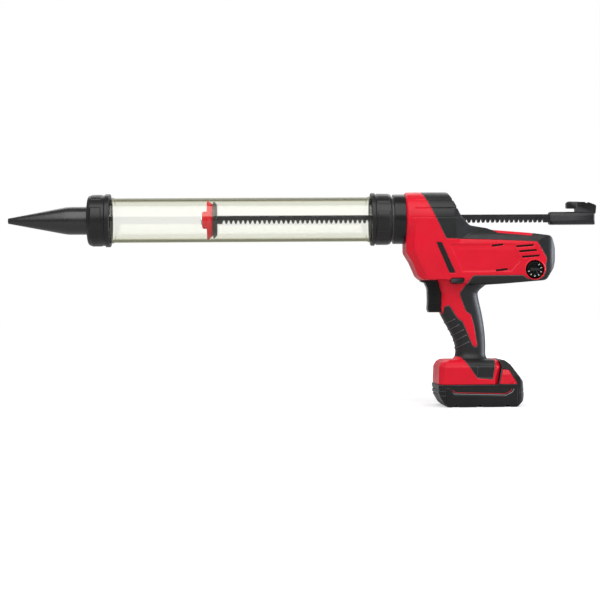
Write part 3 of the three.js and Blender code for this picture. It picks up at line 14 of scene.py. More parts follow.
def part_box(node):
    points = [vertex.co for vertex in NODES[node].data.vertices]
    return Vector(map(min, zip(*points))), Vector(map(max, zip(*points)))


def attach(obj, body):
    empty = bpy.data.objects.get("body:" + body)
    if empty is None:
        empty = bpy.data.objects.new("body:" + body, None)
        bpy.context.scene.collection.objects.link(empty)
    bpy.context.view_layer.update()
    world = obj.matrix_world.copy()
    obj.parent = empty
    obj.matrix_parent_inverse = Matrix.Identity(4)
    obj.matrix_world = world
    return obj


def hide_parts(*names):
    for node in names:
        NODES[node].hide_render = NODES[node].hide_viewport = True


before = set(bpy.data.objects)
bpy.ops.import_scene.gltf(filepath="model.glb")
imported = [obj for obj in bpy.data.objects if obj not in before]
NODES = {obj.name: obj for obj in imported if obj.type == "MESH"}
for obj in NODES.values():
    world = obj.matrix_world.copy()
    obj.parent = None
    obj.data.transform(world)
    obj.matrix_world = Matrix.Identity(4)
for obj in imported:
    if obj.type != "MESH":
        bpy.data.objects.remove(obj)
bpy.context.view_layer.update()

bl_info = {
    "name": "Caulking gun finish",
    "version": (1, 0, 0),
    "blender": (4, 5, 0),
    "location": "3D View > Sidebar > Caulking gun",
    "description": "Builds the finished pieces of a battery-powered caulking gun round its frame",
    "category": "Object",
}

MM = 0.001
# Half widths that reach past the gun, and the halves of everything that is split down its middle.
BEYOND = 50.0
SIDES = {"left": (-60, 0), "right": (0, 60)}


def millimetres(node):
    """A node's lowest and highest corners in millimetres."""
    low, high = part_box(node)
    return low / MM, high / MM


TUBE_LOW, TUBE_HIGH = millimetres("barrel_tube")
AXIS_Z = (TUBE_LOW.z + TUBE_HIGH.z) / 2
TUBE_RADIUS = (TUBE_HIGH.z - TUBE_LOW.z) / 2
CAP_LOW, CAP_HIGH = millimetres("front_cap")
NOZZLE_LOW, NOZZLE_HIGH = millimetres("nozzle")
COLLAR_LOW, COLLAR_HIGH = millimetres("rear_collar")
PISTON_LOW, PISTON_HIGH = millimetres("piston")
PLATE_LOW, PLATE_HIGH = millimetres("piston_backplate")
RACK_LOW = millimetres("rack_rod")[0]
END_LOW, END_HIGH = millimetres("rod_end_cap")
HOOK_LOW, HOOK_HIGH = millimetres("hang_hook")


# ------------------------------------------------------------------ settings
class CaulkGunSizes(bpy.types.PropertyGroup):
    """Sizes that a user would change."""

    turned_steps: IntProperty(
        name="Steps round", description="Faces round a turned piece", default=144, min=24)
    housing_voxel: FloatProperty(
        name="Housing detail", description="Grid that the moulded shells are made on",
        default=0.00065, unit="LENGTH")
    soft_voxel: FloatProperty(
        name="Small part detail", description="Grid that small moulded pieces are made on",
        default=0.0004, unit="LENGTH")
    groove_depth: FloatProperty(
        name="Groove depth", description="Depth of the lines pressed into the shells",
        default=0.0011, unit="LENGTH")
    rubber_thickness: FloatProperty(
        name="Rubber thickness", description="Thickness of the moulded-on grip",
        default=0.0016, unit="LENGTH")


class CaulkGunColours(bpy.types.PropertyGroup):
    """Colours of the finishes."""

    red: FloatVectorProperty(
        name="Red plastic", description="Shells, piston and latches",
        subtype="COLOR", default=(0.73, 0.008, 0.026), min=0, max=1)
    black: FloatVectorProperty(
        name="Black plastic", description="Cap, nozzle, battery and controls",
        subtype="COLOR", default=(0.0075, 0.0075, 0.008), min=0, max=1)
    rubber: FloatVectorProperty(
        name="Soft grip", description="Moulded-on rubber",
        subtype="COLOR", default=(0.0125, 0.013, 0.0132), min=0, max=1)
    clear: FloatVectorProperty(
        name="Clear plastic", description="Barrel tube seen square on",
        subtype="COLOR", default=(0.955, 0.958, 0.935), min=0, max=1)
    clear_edge: FloatVectorProperty(
        name="Clear plastic edge", description="Barrel tube's darkest line, just inside its outline",
        subtype="COLOR", default=(0.42, 0.425, 0.36), min=0, max=1)
    steel: FloatVectorProperty(
        name="Steel", description="Gears, shafts and screws",
        subtype="COLOR", default=(0.55, 0.56, 0.58), min=0, max=1)


class CaulkGunStage(bpy.types.PropertyGroup):
    """Floor, light and camera."""

    distance: FloatProperty(
        name="Camera distance", description="From the camera to the middle of the gun",
        default=1.937, unit="LENGTH")
    azimuth: FloatProperty(
        name="Camera azimuth", description="Turn of the camera about the gun",
        default=math.radians(-2.2), subtype="ANGLE")
    roll: FloatProperty(
        name="Camera roll", description="Tilt of the picture",
        default=math.radians(0.4), subtype="ANGLE")
    lens: FloatProperty(
        name="Lens", description="Focal length in millimetres", default=88.3, unit="CAMERA")
    softbox_power: FloatProperty(
        name="Softbox power", description="Power of the large front light in watts",
        default=41.0, unit="POWER")
    room_light: FloatProperty(
        name="Room light", description="Strength of the light from all round", default=0.30)


# ------------------------------------------------------------------ outlines
def rounded(corners, steps=8):
    """An outline from corners (x, y, radius): a corner with a radius becomes an arc of so many steps."""
    out = []
    for i, (x, y, r) in enumerate(corners):
        here = Vector((x, y))
        if not r:
            out.append(here)
            continue
        u = (Vector(corners[i - 1][:2]) - here).normalized()
        v = (Vector(corners[(i + 1) % len(corners)][:2]) - here).normalized()
        half = math.acos(max(-1.0, min(1.0, u.dot(v)))) / 2
        centre = here + (u + v).normalized() * (r / math.sin(half))
        start = here + u * (r / math.tan(half)) - centre
        end = here + v * (r / math.tan(half)) - centre
        sweep = math.atan2(start.x * end.y - start.y * end.x, start.dot(end))
        for k in range(steps + 1):
            out.append(centre + Matrix.Rotation(sweep * k / steps, 2) @ start)
    return [(p.x, p.y) for p in out]


def shrunk(corners, inset, steps=8):
    """Anticlockwise corners (x, y, radius) moved inwards with mitred corners, then rounded."""
    inner = []
    for i, (x, y, r) in enumerate(corners):
        u = (Vector((x, y)) - Vector(corners[i - 1][:2])).normalized()
        v = (Vector(corners[(i + 1) % len(corners)][:2]) - Vector((x, y))).normalized()
        mitre = Vector((-u.y - v.y, u.x + v.x)) * (inset / (1 + u.dot(v)))
        inner.append((x + mitre.x, y + mitre.y, r - inset if r - inset > 0.6 else 0))
    return rounded(inner, steps)


def strip_between(start, end, width):
    """A long box round the line from start to end."""
    a, b = Vector(start), Vector(end)
    side = (b - a).normalized().orthogonal() * (width / 2)
    return [tuple(a - side), tuple(b - side), tuple(b + side), tuple(a + side)]


# ------------------------------------------------------------------ meshes
def made(corners, faces, name="form"):
    """A new object from corners in millimetres."""
    mesh = bpy.data.meshes.new(name)
    mesh.from_pydata([Vector(c) * MM for c in corners], [], faces)
    mesh.validate()
    form = bmesh.new()
    form.from_mesh(mesh)
    bmesh.ops.remove_doubles(form, verts=form.verts, dist=1e-7)
    bmesh.ops.recalc_face_normals(form, faces=form.faces)
    form.to_mesh(mesh)
    form.free()
    piece = bpy.data.objects.new(name, mesh)
    bpy.context.scene.collection.objects.link(piece)
    return piece


def prism(outline, axis, low, high):
    """An outline pushed along one axis. Its drawing is XZ for Y, YZ for X and XY for Z."""
    place = {
        "X": lambda a, b, c: (c, a, b),
        "Y": lambda a, b, c: (a, c, b),
        "Z": lambda a, b, c: (a, b, c),
    }[axis]
    n = len(outline)
    corners = [place(a, b, c) for c in (low, high) for a, b in outline]
    faces = [tuple(range(n)), tuple(range(n, 2 * n))]
    faces += [(i, (i + 1) % n, (i + 1) % n + n, i + n) for i in range(n)]
    return made(corners, faces)


def full_width(outline):
    """A drawing of the side view pushed right across the gun."""
    return prism(outline, "Y", -BEYOND, BEYOND)


def block(x0, x1, y0, y1, z0, z1):
    """A box between two corners."""
    return prism([(x0, z0), (x1, z0), (x1, z1), (x0, z1)], "Y", y0, y1)


def revolved(profile, steps=None, axis="X", centre=(0.0, 0.0, None), wave=None):
    """A closed profile of (radius, along) turned about a line along X, Y or Z.

    wave(angle, radius, along) may change the radius.
    """
    steps = steps or bpy.context.scene.caulk_sizes.turned_steps
    cx, cy, cz = centre
    cz = AXIS_Z if cz is None else cz
    place = {
        "X": lambda r, a, t: (a, cy + r * math.cos(t), cz + r * math.sin(t)),
        "Y": lambda r, a, t: (cx + r * math.cos(t), a, cz + r * math.sin(t)),
        "Z": lambda r, a, t: (cx + r * math.cos(t), cy + r * math.sin(t), a),
    }[axis]
    n = len(profile)
    corners = []
    for k in range(steps):
        angle = 2 * math.pi * k / steps
        for radius, along in profile:
            bent = wave(angle, radius, along) if wave and radius else radius
            corners.append(place(bent, along, angle))
    faces = []
    for k in range(steps):
        for i in range(n):
            j = (i + 1) % n
            if profile[i][0] < 1e-6 and profile[j][0] < 1e-6:
                continue
            a, b = k * n, ((k + 1) % steps) * n
            faces.append((a + i, a + j, b + j, b + i))
    return made(corners, faces)


def rod(radius, axis, low, high, centre, steps=48):
    """A plain round bar along one axis."""
    return revolved([(0, low), (radius, low), (radius, high), (0, high)], steps, axis, centre)


def lofted(rings):
    """A closed skin through rings of the same number of points."""
    n = len(rings[0])
    corners = [p for ring in rings for p in ring]
    faces = [tuple(range(n)), tuple(range(len(corners) - n, len(corners)))]
    for k in range(len(rings) - 1):
        for i in range(n):
            a, b = k * n + i, k * n + (i + 1) % n
            faces.append((a, b, b + n, a + n))
    return made(corners, faces)


def squircle(z, x0, x1, half, power, points=72):
    """A level ring between x0 and x1, square for a high power and round for 2."""
    ring = []
    for i in range(points):
        t = (i + 0.5) / points * 2 * math.pi
        c, s = math.cos(t), math.sin(t)
        x = math.copysign(abs(c) ** (2 / power), c)
        y = math.copysign(abs(s) ** (2 / power), s)
        ring.append(((x0 + x1) / 2 + x * (x1 - x0) / 2, y * half, z))
    return ring


def settled(piece):
    """Bakes the modifiers into the mesh."""
    view = bpy.context.evaluated_depsgraph_get()
    mesh = bpy.data.meshes.new_from_object(piece.evaluated_get(view))
    old = piece.data
    piece.modifiers.clear()
    piece.data = mesh
    bpy.data.meshes.remove(old)
    return piece


def combined(piece, operation, *tools, keep=()):
    """Joins or cuts the piece with each tool, and deletes the tools that needn't be kept."""
    for tool in tools:
        step = piece.modifiers.new("cut", "BOOLEAN")
        step.operation, step.object, step.solver = operation, tool, "MANIFOLD"
        settled(piece)
        if tool not in keep:
            bpy.data.objects.remove(tool)
    return piece


def joined(piece, *tools, **options):
    """The piece with the tools joined on."""
    return combined(piece, "UNION", *tools, **options)


def without(piece, *tools, **options):
    """The piece with the tools cut away."""
    return combined(piece, "DIFFERENCE", *tools, **options)


def shared(piece, *tools, **options):
    """What the piece shares with every tool."""
    return combined(piece, "INTERSECT", *tools, **options)


def copied(piece):
    """A twin of the piece with its own mesh."""
    twin = piece.copy()
    twin.data = piece.data.copy()
    bpy.context.scene.collection.objects.link(twin)
    return twin


def moulded(piece, voxel, passes, keep=1.0):
    """Remade on a fine grid and relaxed, so that edges get the soft radius of a moulding."""
    step = piece.modifiers.new("grid", "REMESH")
    step.mode, step.voxel_size = "VOXEL", voxel
    step = piece.modifiers.new("relax", "SMOOTH")
    step.factor, step.iterations = 0.5, passes
    if keep < 1:
        step = piece.modifiers.new("thin", "DECIMATE")
        step.ratio = keep
    return settled(piece)


def half_of(piece, side):
    """A copy of the half of a piece on one side of the gun."""
    low, high = SIDES[side]
    return shared(copied(piece), block(-200, 200, low, high, -20, 320))


def bevelled(piece, width, segments=3, angle=35):
    """Rounds the edges steeper than the angle."""
    step = piece.modifiers.new("edge", "BEVEL")
    step.width, step.segments, step.limit_method = width * MM, segments, "ANGLE"
    step.angle_limit = math.radians(angle)
    return settled(piece)


def finished(piece, name, body, finish, nodes=(), angle=40):
    """Names the piece, shades it, gives it its finish and ties it to the frame.

    Edges steeper than the angle stay sharp; at 0 none does.
    """
    mesh = piece.data
    piece.name = name
    mesh.name = name
    mesh.materials.clear()
    mesh.materials.append(finish)
    mesh.polygons.foreach_set("use_smooth", [True] * len(mesh.polygons))
    if angle:
        mesh.set_sharp_from_angle(angle=math.radians(angle))
    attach(piece, body)
    if nodes:
        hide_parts(*nodes)


# ------------------------------------------------------------------ finishes
FINISHES = {}
# How sharply the skin bends, from where a painted highlight starts on an edge and from the bottom of a
# hollow, where painted shade lies.
HIGHLIGHT_EDGE = (0.515, 0.57)
SHADED_HOLLOW = (0.43, 0.485)


def tree_of(name):
    """A new finish, its node tree and its main surface."""
    finish = bpy.data.materials.new(name)
    finish.use_nodes = True
    tree = finish.node_tree
    surface = next(n for n in tree.nodes if n.type == "BSDF_PRINCIPLED")
    FINISHES[name] = finish
    return finish, tree, surface


def added(tree, kind, **values):
    """A new node with its settings and socket values."""
    node = tree.nodes.new(kind)
    for key, value in values.items():
        if hasattr(node, key):
            setattr(node, key, value)
        else:
            node.inputs[key.replace("_", " ")].default_value = value
    return node


def worked_out(tree, operation, first, second):
    """The result of one operation on two values of the tree."""
    node = added(tree, "ShaderNodeMath", operation=operation)
    tree.links.new(first, node.inputs[0])
    tree.links.new(second, node.inputs[1])
    return node.outputs[0]


def blended(tree, share, first, second):
    """Two shaders mixed: the share is the second one's."""
    mix = added(tree, "ShaderNodeMixShader")
    for source, socket in zip((share, first, second), mix.inputs):
        tree.links.new(source, socket)
    return mix.outputs[0]


def seen_directly(tree, path):
    """1 for what the camera sees, straight or through the clear tube, and 0 for all other light."""
    return worked_out(tree, "MAXIMUM", path.outputs["Is Camera Ray"], path.outputs["Is Transmission Ray"])


def noise(tree, scale, detail=3.0, stretch=None):
    """Cloudy noise fixed to the piece."""
    place = added(tree, "ShaderNodeTexCoord")
    source = place.outputs["Object"]
    if stretch:
        mapping = added(tree, "ShaderNodeMapping")
        mapping.inputs["Scale"].default_value = stretch
        tree.links.new(source, mapping.inputs["Vector"])
        source = mapping.outputs["Vector"]
    node = added(tree, "ShaderNodeTexNoise", Scale=scale, Detail=detail)
    tree.links.new(source, node.inputs["Vector"])
    return node.outputs["Fac"]


def spread(tree, source, low, high, start=0.3, end=0.7):
    """A value that goes from low to high as its source goes from start to end."""
    node = added(tree, "ShaderNodeMapRange")
    for key, value in zip(("From Min", "From Max", "To Min", "To Max"), (start, end, low, high)):
        node.inputs[key].default_value = value
    tree.links.new(source, node.inputs["Value"])
    return node.outputs["Result"]


def tinted(tree, source, low, high):
    """A colour between low and high, driven by a value."""
    node = added(tree, "ShaderNodeValToRGB")
    ramp = node.color_ramp
    ramp.elements[0].position, ramp.elements[0].color = 0.3, (*low, 1)
    ramp.elements[1].position, ramp.elements[1].color = 0.7, (*high, 1)
    tree.links.new(source, node.inputs["Fac"])
    return node.outputs["Color"]


def bumped(tree, surface, *layers):
    """Bump layers of (height source, depth in metres), one on the other."""
    normal = None
    for source, depth in layers:
        node = added(tree, "ShaderNodeBump", Strength=1.0, Distance=depth)
        tree.links.new(source, node.inputs["Height"])
        if normal:
            tree.links.new(normal, node.inputs["Normal"])
        normal = node.outputs["Normal"]
    tree.links.new(normal, surface.inputs["Normal"])


def scaled(colour, factor):
    """A darker or lighter shade of a colour."""
    return tuple(min(1.0, c * factor) for c in colour)


def moulded_plastic(name, colour, rough, grain_scale, grain_depth, mottle=0.06, coat=0.0, edge_highlight=0.0,
                    highlight_tone=None, gloss=0.3):
    """Moulded plastic: faint mottling, spark-eroded grain, uneven gloss, a painted highlight on sharp edges
    and painted shade in hollows.
    """
    _, tree, surface = tree_of(name)
    cloud = noise(tree, 26.0, 4.0)
    base = tinted(tree, cloud, scaled(colour, 1 - mottle), scaled(colour, 1 + mottle))
    # Painted highlight on sharp edges and painted shade in hollows, both from how sharply the skin bends.
    if edge_highlight:
        bend = added(tree, "ShaderNodeNewGeometry").outputs["Pointiness"]
        for share, tone in (
                (spread(tree, bend, 0.0, edge_highlight, *HIGHLIGHT_EDGE), highlight_tone),
                # Painted shade: hollows darkened to 0.3 of the colour.
                (spread(tree, bend, 0.75, 0.0, *SHADED_HOLLOW), scaled(colour, 0.3))):
            mix = added(tree, "ShaderNodeMix", data_type="RGBA")
            tree.links.new(share, mix.inputs["Factor"])
            tree.links.new(base, mix.inputs["A"])
            mix.inputs["B"].default_value = (*tone, 1)
            base = mix.outputs["Result"]
    tree.links.new(base, surface.inputs["Base Color"])
    patches = noise(tree, 60.0, 3.0)
    tree.links.new(spread(tree, patches, rough - 0.05, rough + 0.06), surface.inputs["Roughness"])
    surface.inputs["Specular IOR Level"].default_value = gloss
    surface.inputs["Coat Weight"].default_value = coat
    surface.inputs["Coat Roughness"].default_value = 0.12
    grain = noise(tree, grain_scale, 2.0)
    swell = noise(tree, 180.0, 1.0)
    bumped(tree, surface, (swell, grain_depth * 0.8), (grain, grain_depth))


def machined(name, colour, rough, stretch, depth=0.00002, metallic=1.0):
    """Machined metal: fine tool lines along one direction and uneven tone."""
    _, tree, surface = tree_of(name)
    cloud = noise(tree, 40.0, 5.0)
    base = tinted(tree, cloud, scaled(colour, 0.8), scaled(colour, 1.15))
    tree.links.new(base, surface.inputs["Base Color"])
    surface.inputs["Metallic"].default_value = metallic
    lines = noise(tree, 300.0, 3.0, stretch=stretch)
    tree.links.new(spread(tree, lines, rough - 0.08, rough + 0.1), surface.inputs["Roughness"])
    bumped(tree, surface, (lines, depth))


def clear_plastic(name, stops, shine, rough):
    """Clear plastic: tinted where light passes, by how square on it is seen, and shiny by the same.

    stops is [(facing, colour)] from square on to edge on, and shine the mirror's share at those two.
    """
    _, tree, surface = tree_of(name)
    facing = added(tree, "ShaderNodeLayerWeight", Blend=0.5)
    ramp = added(tree, "ShaderNodeValToRGB")
    elements = ramp.color_ramp.elements
    elements[0].position, elements[0].color = stops[0][0], (*stops[0][1], 1)
    elements[1].position, elements[1].color = stops[-1][0], (*stops[-1][1], 1)
    for position, colour in stops[1:-1]:
        elements.new(position).color = (*colour, 1)
    tree.links.new(facing.outputs["Facing"], ramp.inputs["Fac"])
    through = added(tree, "ShaderNodeBsdfTransparent")
    tree.links.new(ramp.outputs["Color"], through.inputs["Color"])
    streak = noise(tree, 30.0, 3.0, stretch=(0.05, 1.0, 1.0))
    surface.inputs["Base Color"].default_value = (0.9, 0.9, 0.82, 1)
    tree.links.new(spread(tree, streak, rough, rough + 0.06), surface.inputs["Roughness"])
    surface.inputs["IOR"].default_value = 1.5
    surface.inputs["Metallic"].default_value = 1.0
    share = spread(tree, facing.outputs["Facing"], *shine, 0.15, 1.0)
    output = next(n for n in tree.nodes if n.type == "OUTPUT_MATERIAL")
    mixed = blended(tree, share, through.outputs[0], surface.outputs[0])
    tree.links.new(mixed, output.inputs["Surface"])


def make_finishes():
    """Every finish, by the name of its material."""
    colours = bpy.context.scene.caulk_colours
    red, black, rubber = tuple(colours.red), tuple(colours.black), tuple(colours.rubber)
    # Salmon and the greys are the colours of the painted highlight on sharp edges.
    salmon_highlight, grey, pale_grey_highlight = (0.9, 0.13, 0.12), (0.13, 0.13, 0.135), (0.2, 0.2, 0.205)
    # Name, colour, roughness, grain per metre and grain depth in metres, then what else it needs.
    moulded_plastic("red_shell", red, 0.34, 2600.0, 0.000018,
                    mottle=0.05, edge_highlight=0.2, highlight_tone=salmon_highlight, gloss=0.22)
    moulded_plastic("red_gloss", red, 0.22, 1500.0, 0.000006, mottle=0.04, edge_highlight=0.4, highlight_tone=salmon_highlight)
    # The piston's red is lighter than the shells' red as painted light, making up for the light that the
    # clear tube holds back.
    moulded_plastic("piston_red_painted_light", (0.97, 0.004, 0.016), 0.25, 1500.0, 0.000006, mottle=0.03, gloss=0.15)
    moulded_plastic("grip_rubber", rubber, 0.42, 3200.0, 0.00003,
                    mottle=0.15, edge_highlight=0.9, highlight_tone=pale_grey_highlight, gloss=0.36)
    moulded_plastic("black_satin", black, 0.34, 2200.0, 0.00002,
                    mottle=0.12, edge_highlight=0.4, highlight_tone=grey, gloss=0.4)
    moulded_plastic("black_smooth", scaled(black, 0.75), 0.24, 900.0, 0.000008,
                    mottle=0.1, edge_highlight=0.4, highlight_tone=grey)
    moulded_plastic("black_textured", scaled(black, 1.2), 0.4, 1500.0, 0.00005,
                    mottle=0.25, edge_highlight=0.8, highlight_tone=grey)
    moulded_plastic("black_gloss", scaled(black, 0.5), 0.12, 400.0, 0.000003, mottle=0.05, coat=0.2)
    moulded_plastic("black_nozzle", black, 0.27, 1200.0, 0.00001,
                    mottle=0.1, edge_highlight=0.3, highlight_tone=grey, gloss=0.7)
    moulded_plastic("black_dial", scaled(black, 0.4), 0.42, 1200.0, 0.00001,
                    mottle=0.1, edge_highlight=0.5, highlight_tone=grey, gloss=0.1)
    moulded_plastic("pale_mark", (0.62, 0.62, 0.60), 0.5, 1500.0, 0.00001)
    moulded_plastic("red_mark", scaled(red, 0.9), 0.4, 1500.0, 0.00001)
    moulded_plastic("grey_mark", (0.33, 0.34, 0.35), 0.4, 1500.0, 0.00001)
    moulded_plastic("cell_sleeve", (0.03, 0.16, 0.12), 0.3, 500.0, 0.00001)
    moulded_plastic("solder_mask", (0.01, 0.12, 0.04), 0.35, 700.0, 0.00001)
    machined("blackened_steel", (0.045, 0.045, 0.048), 0.38, (0.05, 1.0, 1.0), metallic=0.9)
    machined("bright_steel", tuple(colours.steel), 0.3, (1.0, 0.08, 1.0))
    machined("cast_black", (0.05, 0.05, 0.053), 0.5, (1.0, 1.0, 1.0), 0.00006, metallic=0.3)
    clear, edge = tuple(colours.clear), tuple(colours.clear_edge)
    tube_stops = [
        (0.0, clear), (0.16, scaled(clear, 0.985)), (0.26, (0.93, 0.935, 0.89)),
        (0.38, (0.925, 0.928, 0.875)), (0.44, (0.86, 0.86, 0.79)), (0.50, (0.56, 0.56, 0.46)),
        (0.56, scaled(edge, 0.98)), (0.66, scaled(edge, 0.9)), (0.76, (0.44, 0.44, 0.34)),
        (0.87, (0.62, 0.62, 0.45)), (1.0, (0.86, 0.86, 0.68))]
    clear_plastic("clear_tube", tube_stops, (0.065, 0.15), 0.04)
    bore_stops = [(0.0, (0.995, 0.995, 0.985)), (1.0, (0.98, 0.98, 0.95))]
    clear_plastic("clear_bore", bore_stops, (0.02, 0.04), 0.05)


# ------------------------------------------------------------------ barrel
GRIP_PADS = 5
PAD_ANGLE = 47.0
PAD_HEIGHT = 0.8
# How far a pad takes to rise, round the ring in degrees and along it.
PAD_RISE_ROUND, PAD_RISE_ALONG = 1.4, 0.9
# Where the middle of one pad stands on the cap and on the collar, in degrees.
CAP_PADS_AT, COLLAR_PADS_AT = 176, 188
# The tube's wall, the bead near each of its ends and the gap between it and the rings on it.
TUBE_WALL = 3.0
BEAD_HEIGHT = 0.9
BORE_GAP = 0.3
# How far the sides and the rims of the two rings stand out from the tube.
CAP_SIDE, COLLAR_SIDE, RIM = 4.0, 3.9, 5.8


def grip_pads(radius, start, end, centre_angle):
    """Radius change of a ring with raised finger pads along it from start to end."""
    def wave(angle, here, along):
        """The ring's radius at an angle and a place along it."""
        if here < radius - 0.01 or not start <= along <= end:
            return here
        pitch = 360.0 / GRIP_PADS
        turn = (math.degrees(angle) - centre_angle + pitch / 2) % pitch - pitch / 2
        sideways = (PAD_ANGLE / 2 - abs(turn)) / PAD_RISE_ROUND + 0.5
        lengthwise = min(along - start, end - along) / PAD_RISE_ALONG
        return here + PAD_HEIGHT * max(0.0, min(1.0, sideways, lengthwise))
    return wave


def knurled(corners, radius, wave):
    """A turned ring with pads: its straight side of the given radius gets close rings."""
    profile = rounded(corners, 5)
    fine = []
    for (r0, a0), (r1, a1) in zip(profile, profile[1:] + profile[:1]):
        on_side = abs(r0 - radius) < 0.01 and abs(r1 - radius) < 0.01
        count = max(1, int(abs(a1 - a0) / 0.45)) if on_side else 1
        fine += [(r0 + (r1 - r0) * k / count, a0 + (a1 - a0) * k / count) for k in range(count)]
    return revolved(fine, steps=360, wave=wave)


def make_barrel_tube():
    """The clear tube with a low bead at each end; its bore has the clearer of the two finishes."""
    low, high = TUBE_LOW.x, TUBE_HIGH.x
    outer, inner = TUBE_RADIUS, TUBE_RADIUS - TUBE_WALL
    front, rear = CAP_HIGH.x, COLLAR_LOW.x
    bead = outer + BEAD_HEIGHT
    tube = revolved(rounded([
        (inner, low, 0.3), (outer, low, 0.5), (outer, front + 0.5, 0), (bead, front + 0.9, 0.3),
        (bead, front + 3.4, 0.6), (outer, front + 4.6, 0.5), (outer, rear - 4.6, 0.5),
        (bead, rear - 3.4, 0.6), (bead, rear - 0.9, 0.3), (outer, rear - 0.5, 0),
        (outer, high, 0.5), (inner, high, 0.3)], 4))
    finished(tube, "tube", "barrel", FINISHES["clear_tube"], ["barrel_tube"])
    tube.data.materials.append(FINISHES["clear_bore"])
    for face in tube.data.polygons:
        y, z = face.center.y / MM, face.center.z / MM - AXIS_Z
        if math.hypot(y, z) < inner + 0.2:
            face.material_index = 1


def make_front_cap():
    """The screw cap: a ring with finger pads, a rim at its rear and a hole for the nozzle."""
    front, rear = CAP_LOW.x, CAP_HIGH.x
    side, rim, bore = TUBE_RADIUS + CAP_SIDE, TUBE_RADIUS + RIM, TUBE_RADIUS + BORE_GAP
    hole = 18.5
    outline = [
        (hole, front, 0.6), (side, front, 5.0), (side, rear - 7, 0.5), (rim, rear - 6, 0.8),
        (rim, rear, 1.2), (bore, rear, 0.8), (bore, front + 5, 0.5), (hole, front + 5, 0.5)]
    cap = knurled(outline, side, grip_pads(side, front + 5.0, rear - 10.5, CAP_PADS_AT))
    finished(cap, "screw_cap", "front_cap", FINISHES["black_satin"], ["front_cap"], 50)


def make_nozzle():
    """The hollow cone, its wider mouth and the flange that the cap holds."""
    tip, rear = NOZZLE_LOW.x, NOZZLE_HIGH.x
    flange = NOZZLE_HIGH.z - AXIS_Z
    mouth = tip + 78
    seat = rear - 2.5
    shape = revolved(rounded([
        (2.1, tip, 0.3), (3.5, tip, 0.5), (17.0, mouth - 7, 0), (17.5, mouth - 4, 0), (17.9, mouth - 1, 0),
        (18.2, mouth + 3, 0), (18.2, seat, 0.3), (flange, seat, 0.4), (flange, rear, 0.4),
        (16.0, rear, 0.5), (15.0, mouth - 7, 3.0)], 6))
    finished(shape, "cone_nozzle", "nozzle", FINISHES["black_nozzle"], ["nozzle"], 50)


def make_rear_collar():
    """The collar that holds the tube to the gun: a rim, then a ring with finger pads."""
    front, rear = COLLAR_LOW.x, COLLAR_HIGH.x
    side, rim, bore = TUBE_RADIUS + COLLAR_SIDE, TUBE_RADIUS + RIM, TUBE_RADIUS + BORE_GAP
    thread = 27.9
    stop = TUBE_HIGH.x + BORE_GAP
    outline = [
        (bore, front, 0.6), (rim, front, 1.2), (rim, front + 4.6, 0.8), (side, front + 5.6, 0.4),
        (side, rear, 1.6), (thread, rear, 0.5), (thread, stop, 0), (bore, stop, 0)]
    collar = knurled(outline, side, grip_pads(side, front + 6.8, rear - 2.4, COLLAR_PADS_AT))
    finished(collar, "collar", "barrel", FINISHES["black_satin"], ["rear_collar"], 50)


def make_nose():
    """The smooth ring and the neck of the gear case between the collar and the head."""
    ring = revolved(rounded([
        (20, -106.05, 0), (32.65, -106.05, 1.4), (32.65, -90.6, 0.5), (20, -90.6, 0)], 5))
    neck = revolved([(18, -112), (27.7, -112), (27.7, -108.5), (29.7, -108.5), (29.7, -105), (18, -105)])
    joined(ring, neck)
    finished(ring, "nose_ring", "gun_body", FINISHES["black_smooth"])


# ------------------------------------------------------------------ rod
def make_piston():
    """The red disc, the plate behind it and the nut that holds both on the rod."""
    hole = 4.1
    front, rear = PISTON_LOW.x, PISTON_HIGH.x
    lip = PISTON_HIGH.z - AXIS_Z
    face = front + 6.6
    disc = revolved(rounded([
        (hole, front + 2.4, 0), (7.5, front + 2.4, 0.4), (7.5, front, 0.6), (11.5, front, 2.6),
        (11.5, face, 1.2), (lip, face, 0.5), (lip, face + 1.8, 0.6), (lip - 5, rear, 0.8),
        (hole, rear, 0)], 5))
    finished(disc, "piston_disc", "rod", FINISHES["piston_red_painted_light"], ["piston"])
    x0, x1 = PLATE_LOW.x, PLATE_HIGH.x
    r = PLATE_HIGH.z - AXIS_Z
    plate = revolved(rounded([
        (hole, x0, 0), (r, x0, 0.4), (r, x0 + 1.6, 0.6), (r - 4, x1, 0.8), (12, x1, 0.4),
        (12, x1 - 1, 0.4), (hole, x1 - 1, 0)], 5))
    finished(plate, "piston_plate", "rod", FINISHES["black_satin"], ["piston_backplate"])
    low, high = millimetres("piston_nut")
    corner = high.z - AXIS_Z
    nut = revolved([(4.2, low.x), (corner, low.x), (corner, high.x), (4.2, high.x)], steps=6)
    crown = revolved([
        (0, low.x - 1), (corner - 0.9, low.x), (corner, low.x + 0.8), (corner, high.x), (0, high.x)])
    shared(nut, crown)
    finished(bevelled(nut, 0.15), "piston_lock_nut", "rod", FINISHES["bright_steel"], ["piston_nut"])


def make_rack():
    """The toothed bar from the frame's own mesh, with its edges broken."""
    bar = copied(NODES["rack_rod"])
    bar.parent = None
    for key in list(bar.keys()):
        del bar[key]
    form = bmesh.new()
    form.from_mesh(bar.data)
    bmesh.ops.dissolve_limit(form, angle_limit=0.01, verts=form.verts, edges=form.edges)
    form.to_mesh(bar.data)
    form.free()
    bevelled(bar, 0.22, 2, 30)
    finished(bar, "toothed_bar", "rod", FINISHES["blackened_steel"], ["rack_rod"], 30)


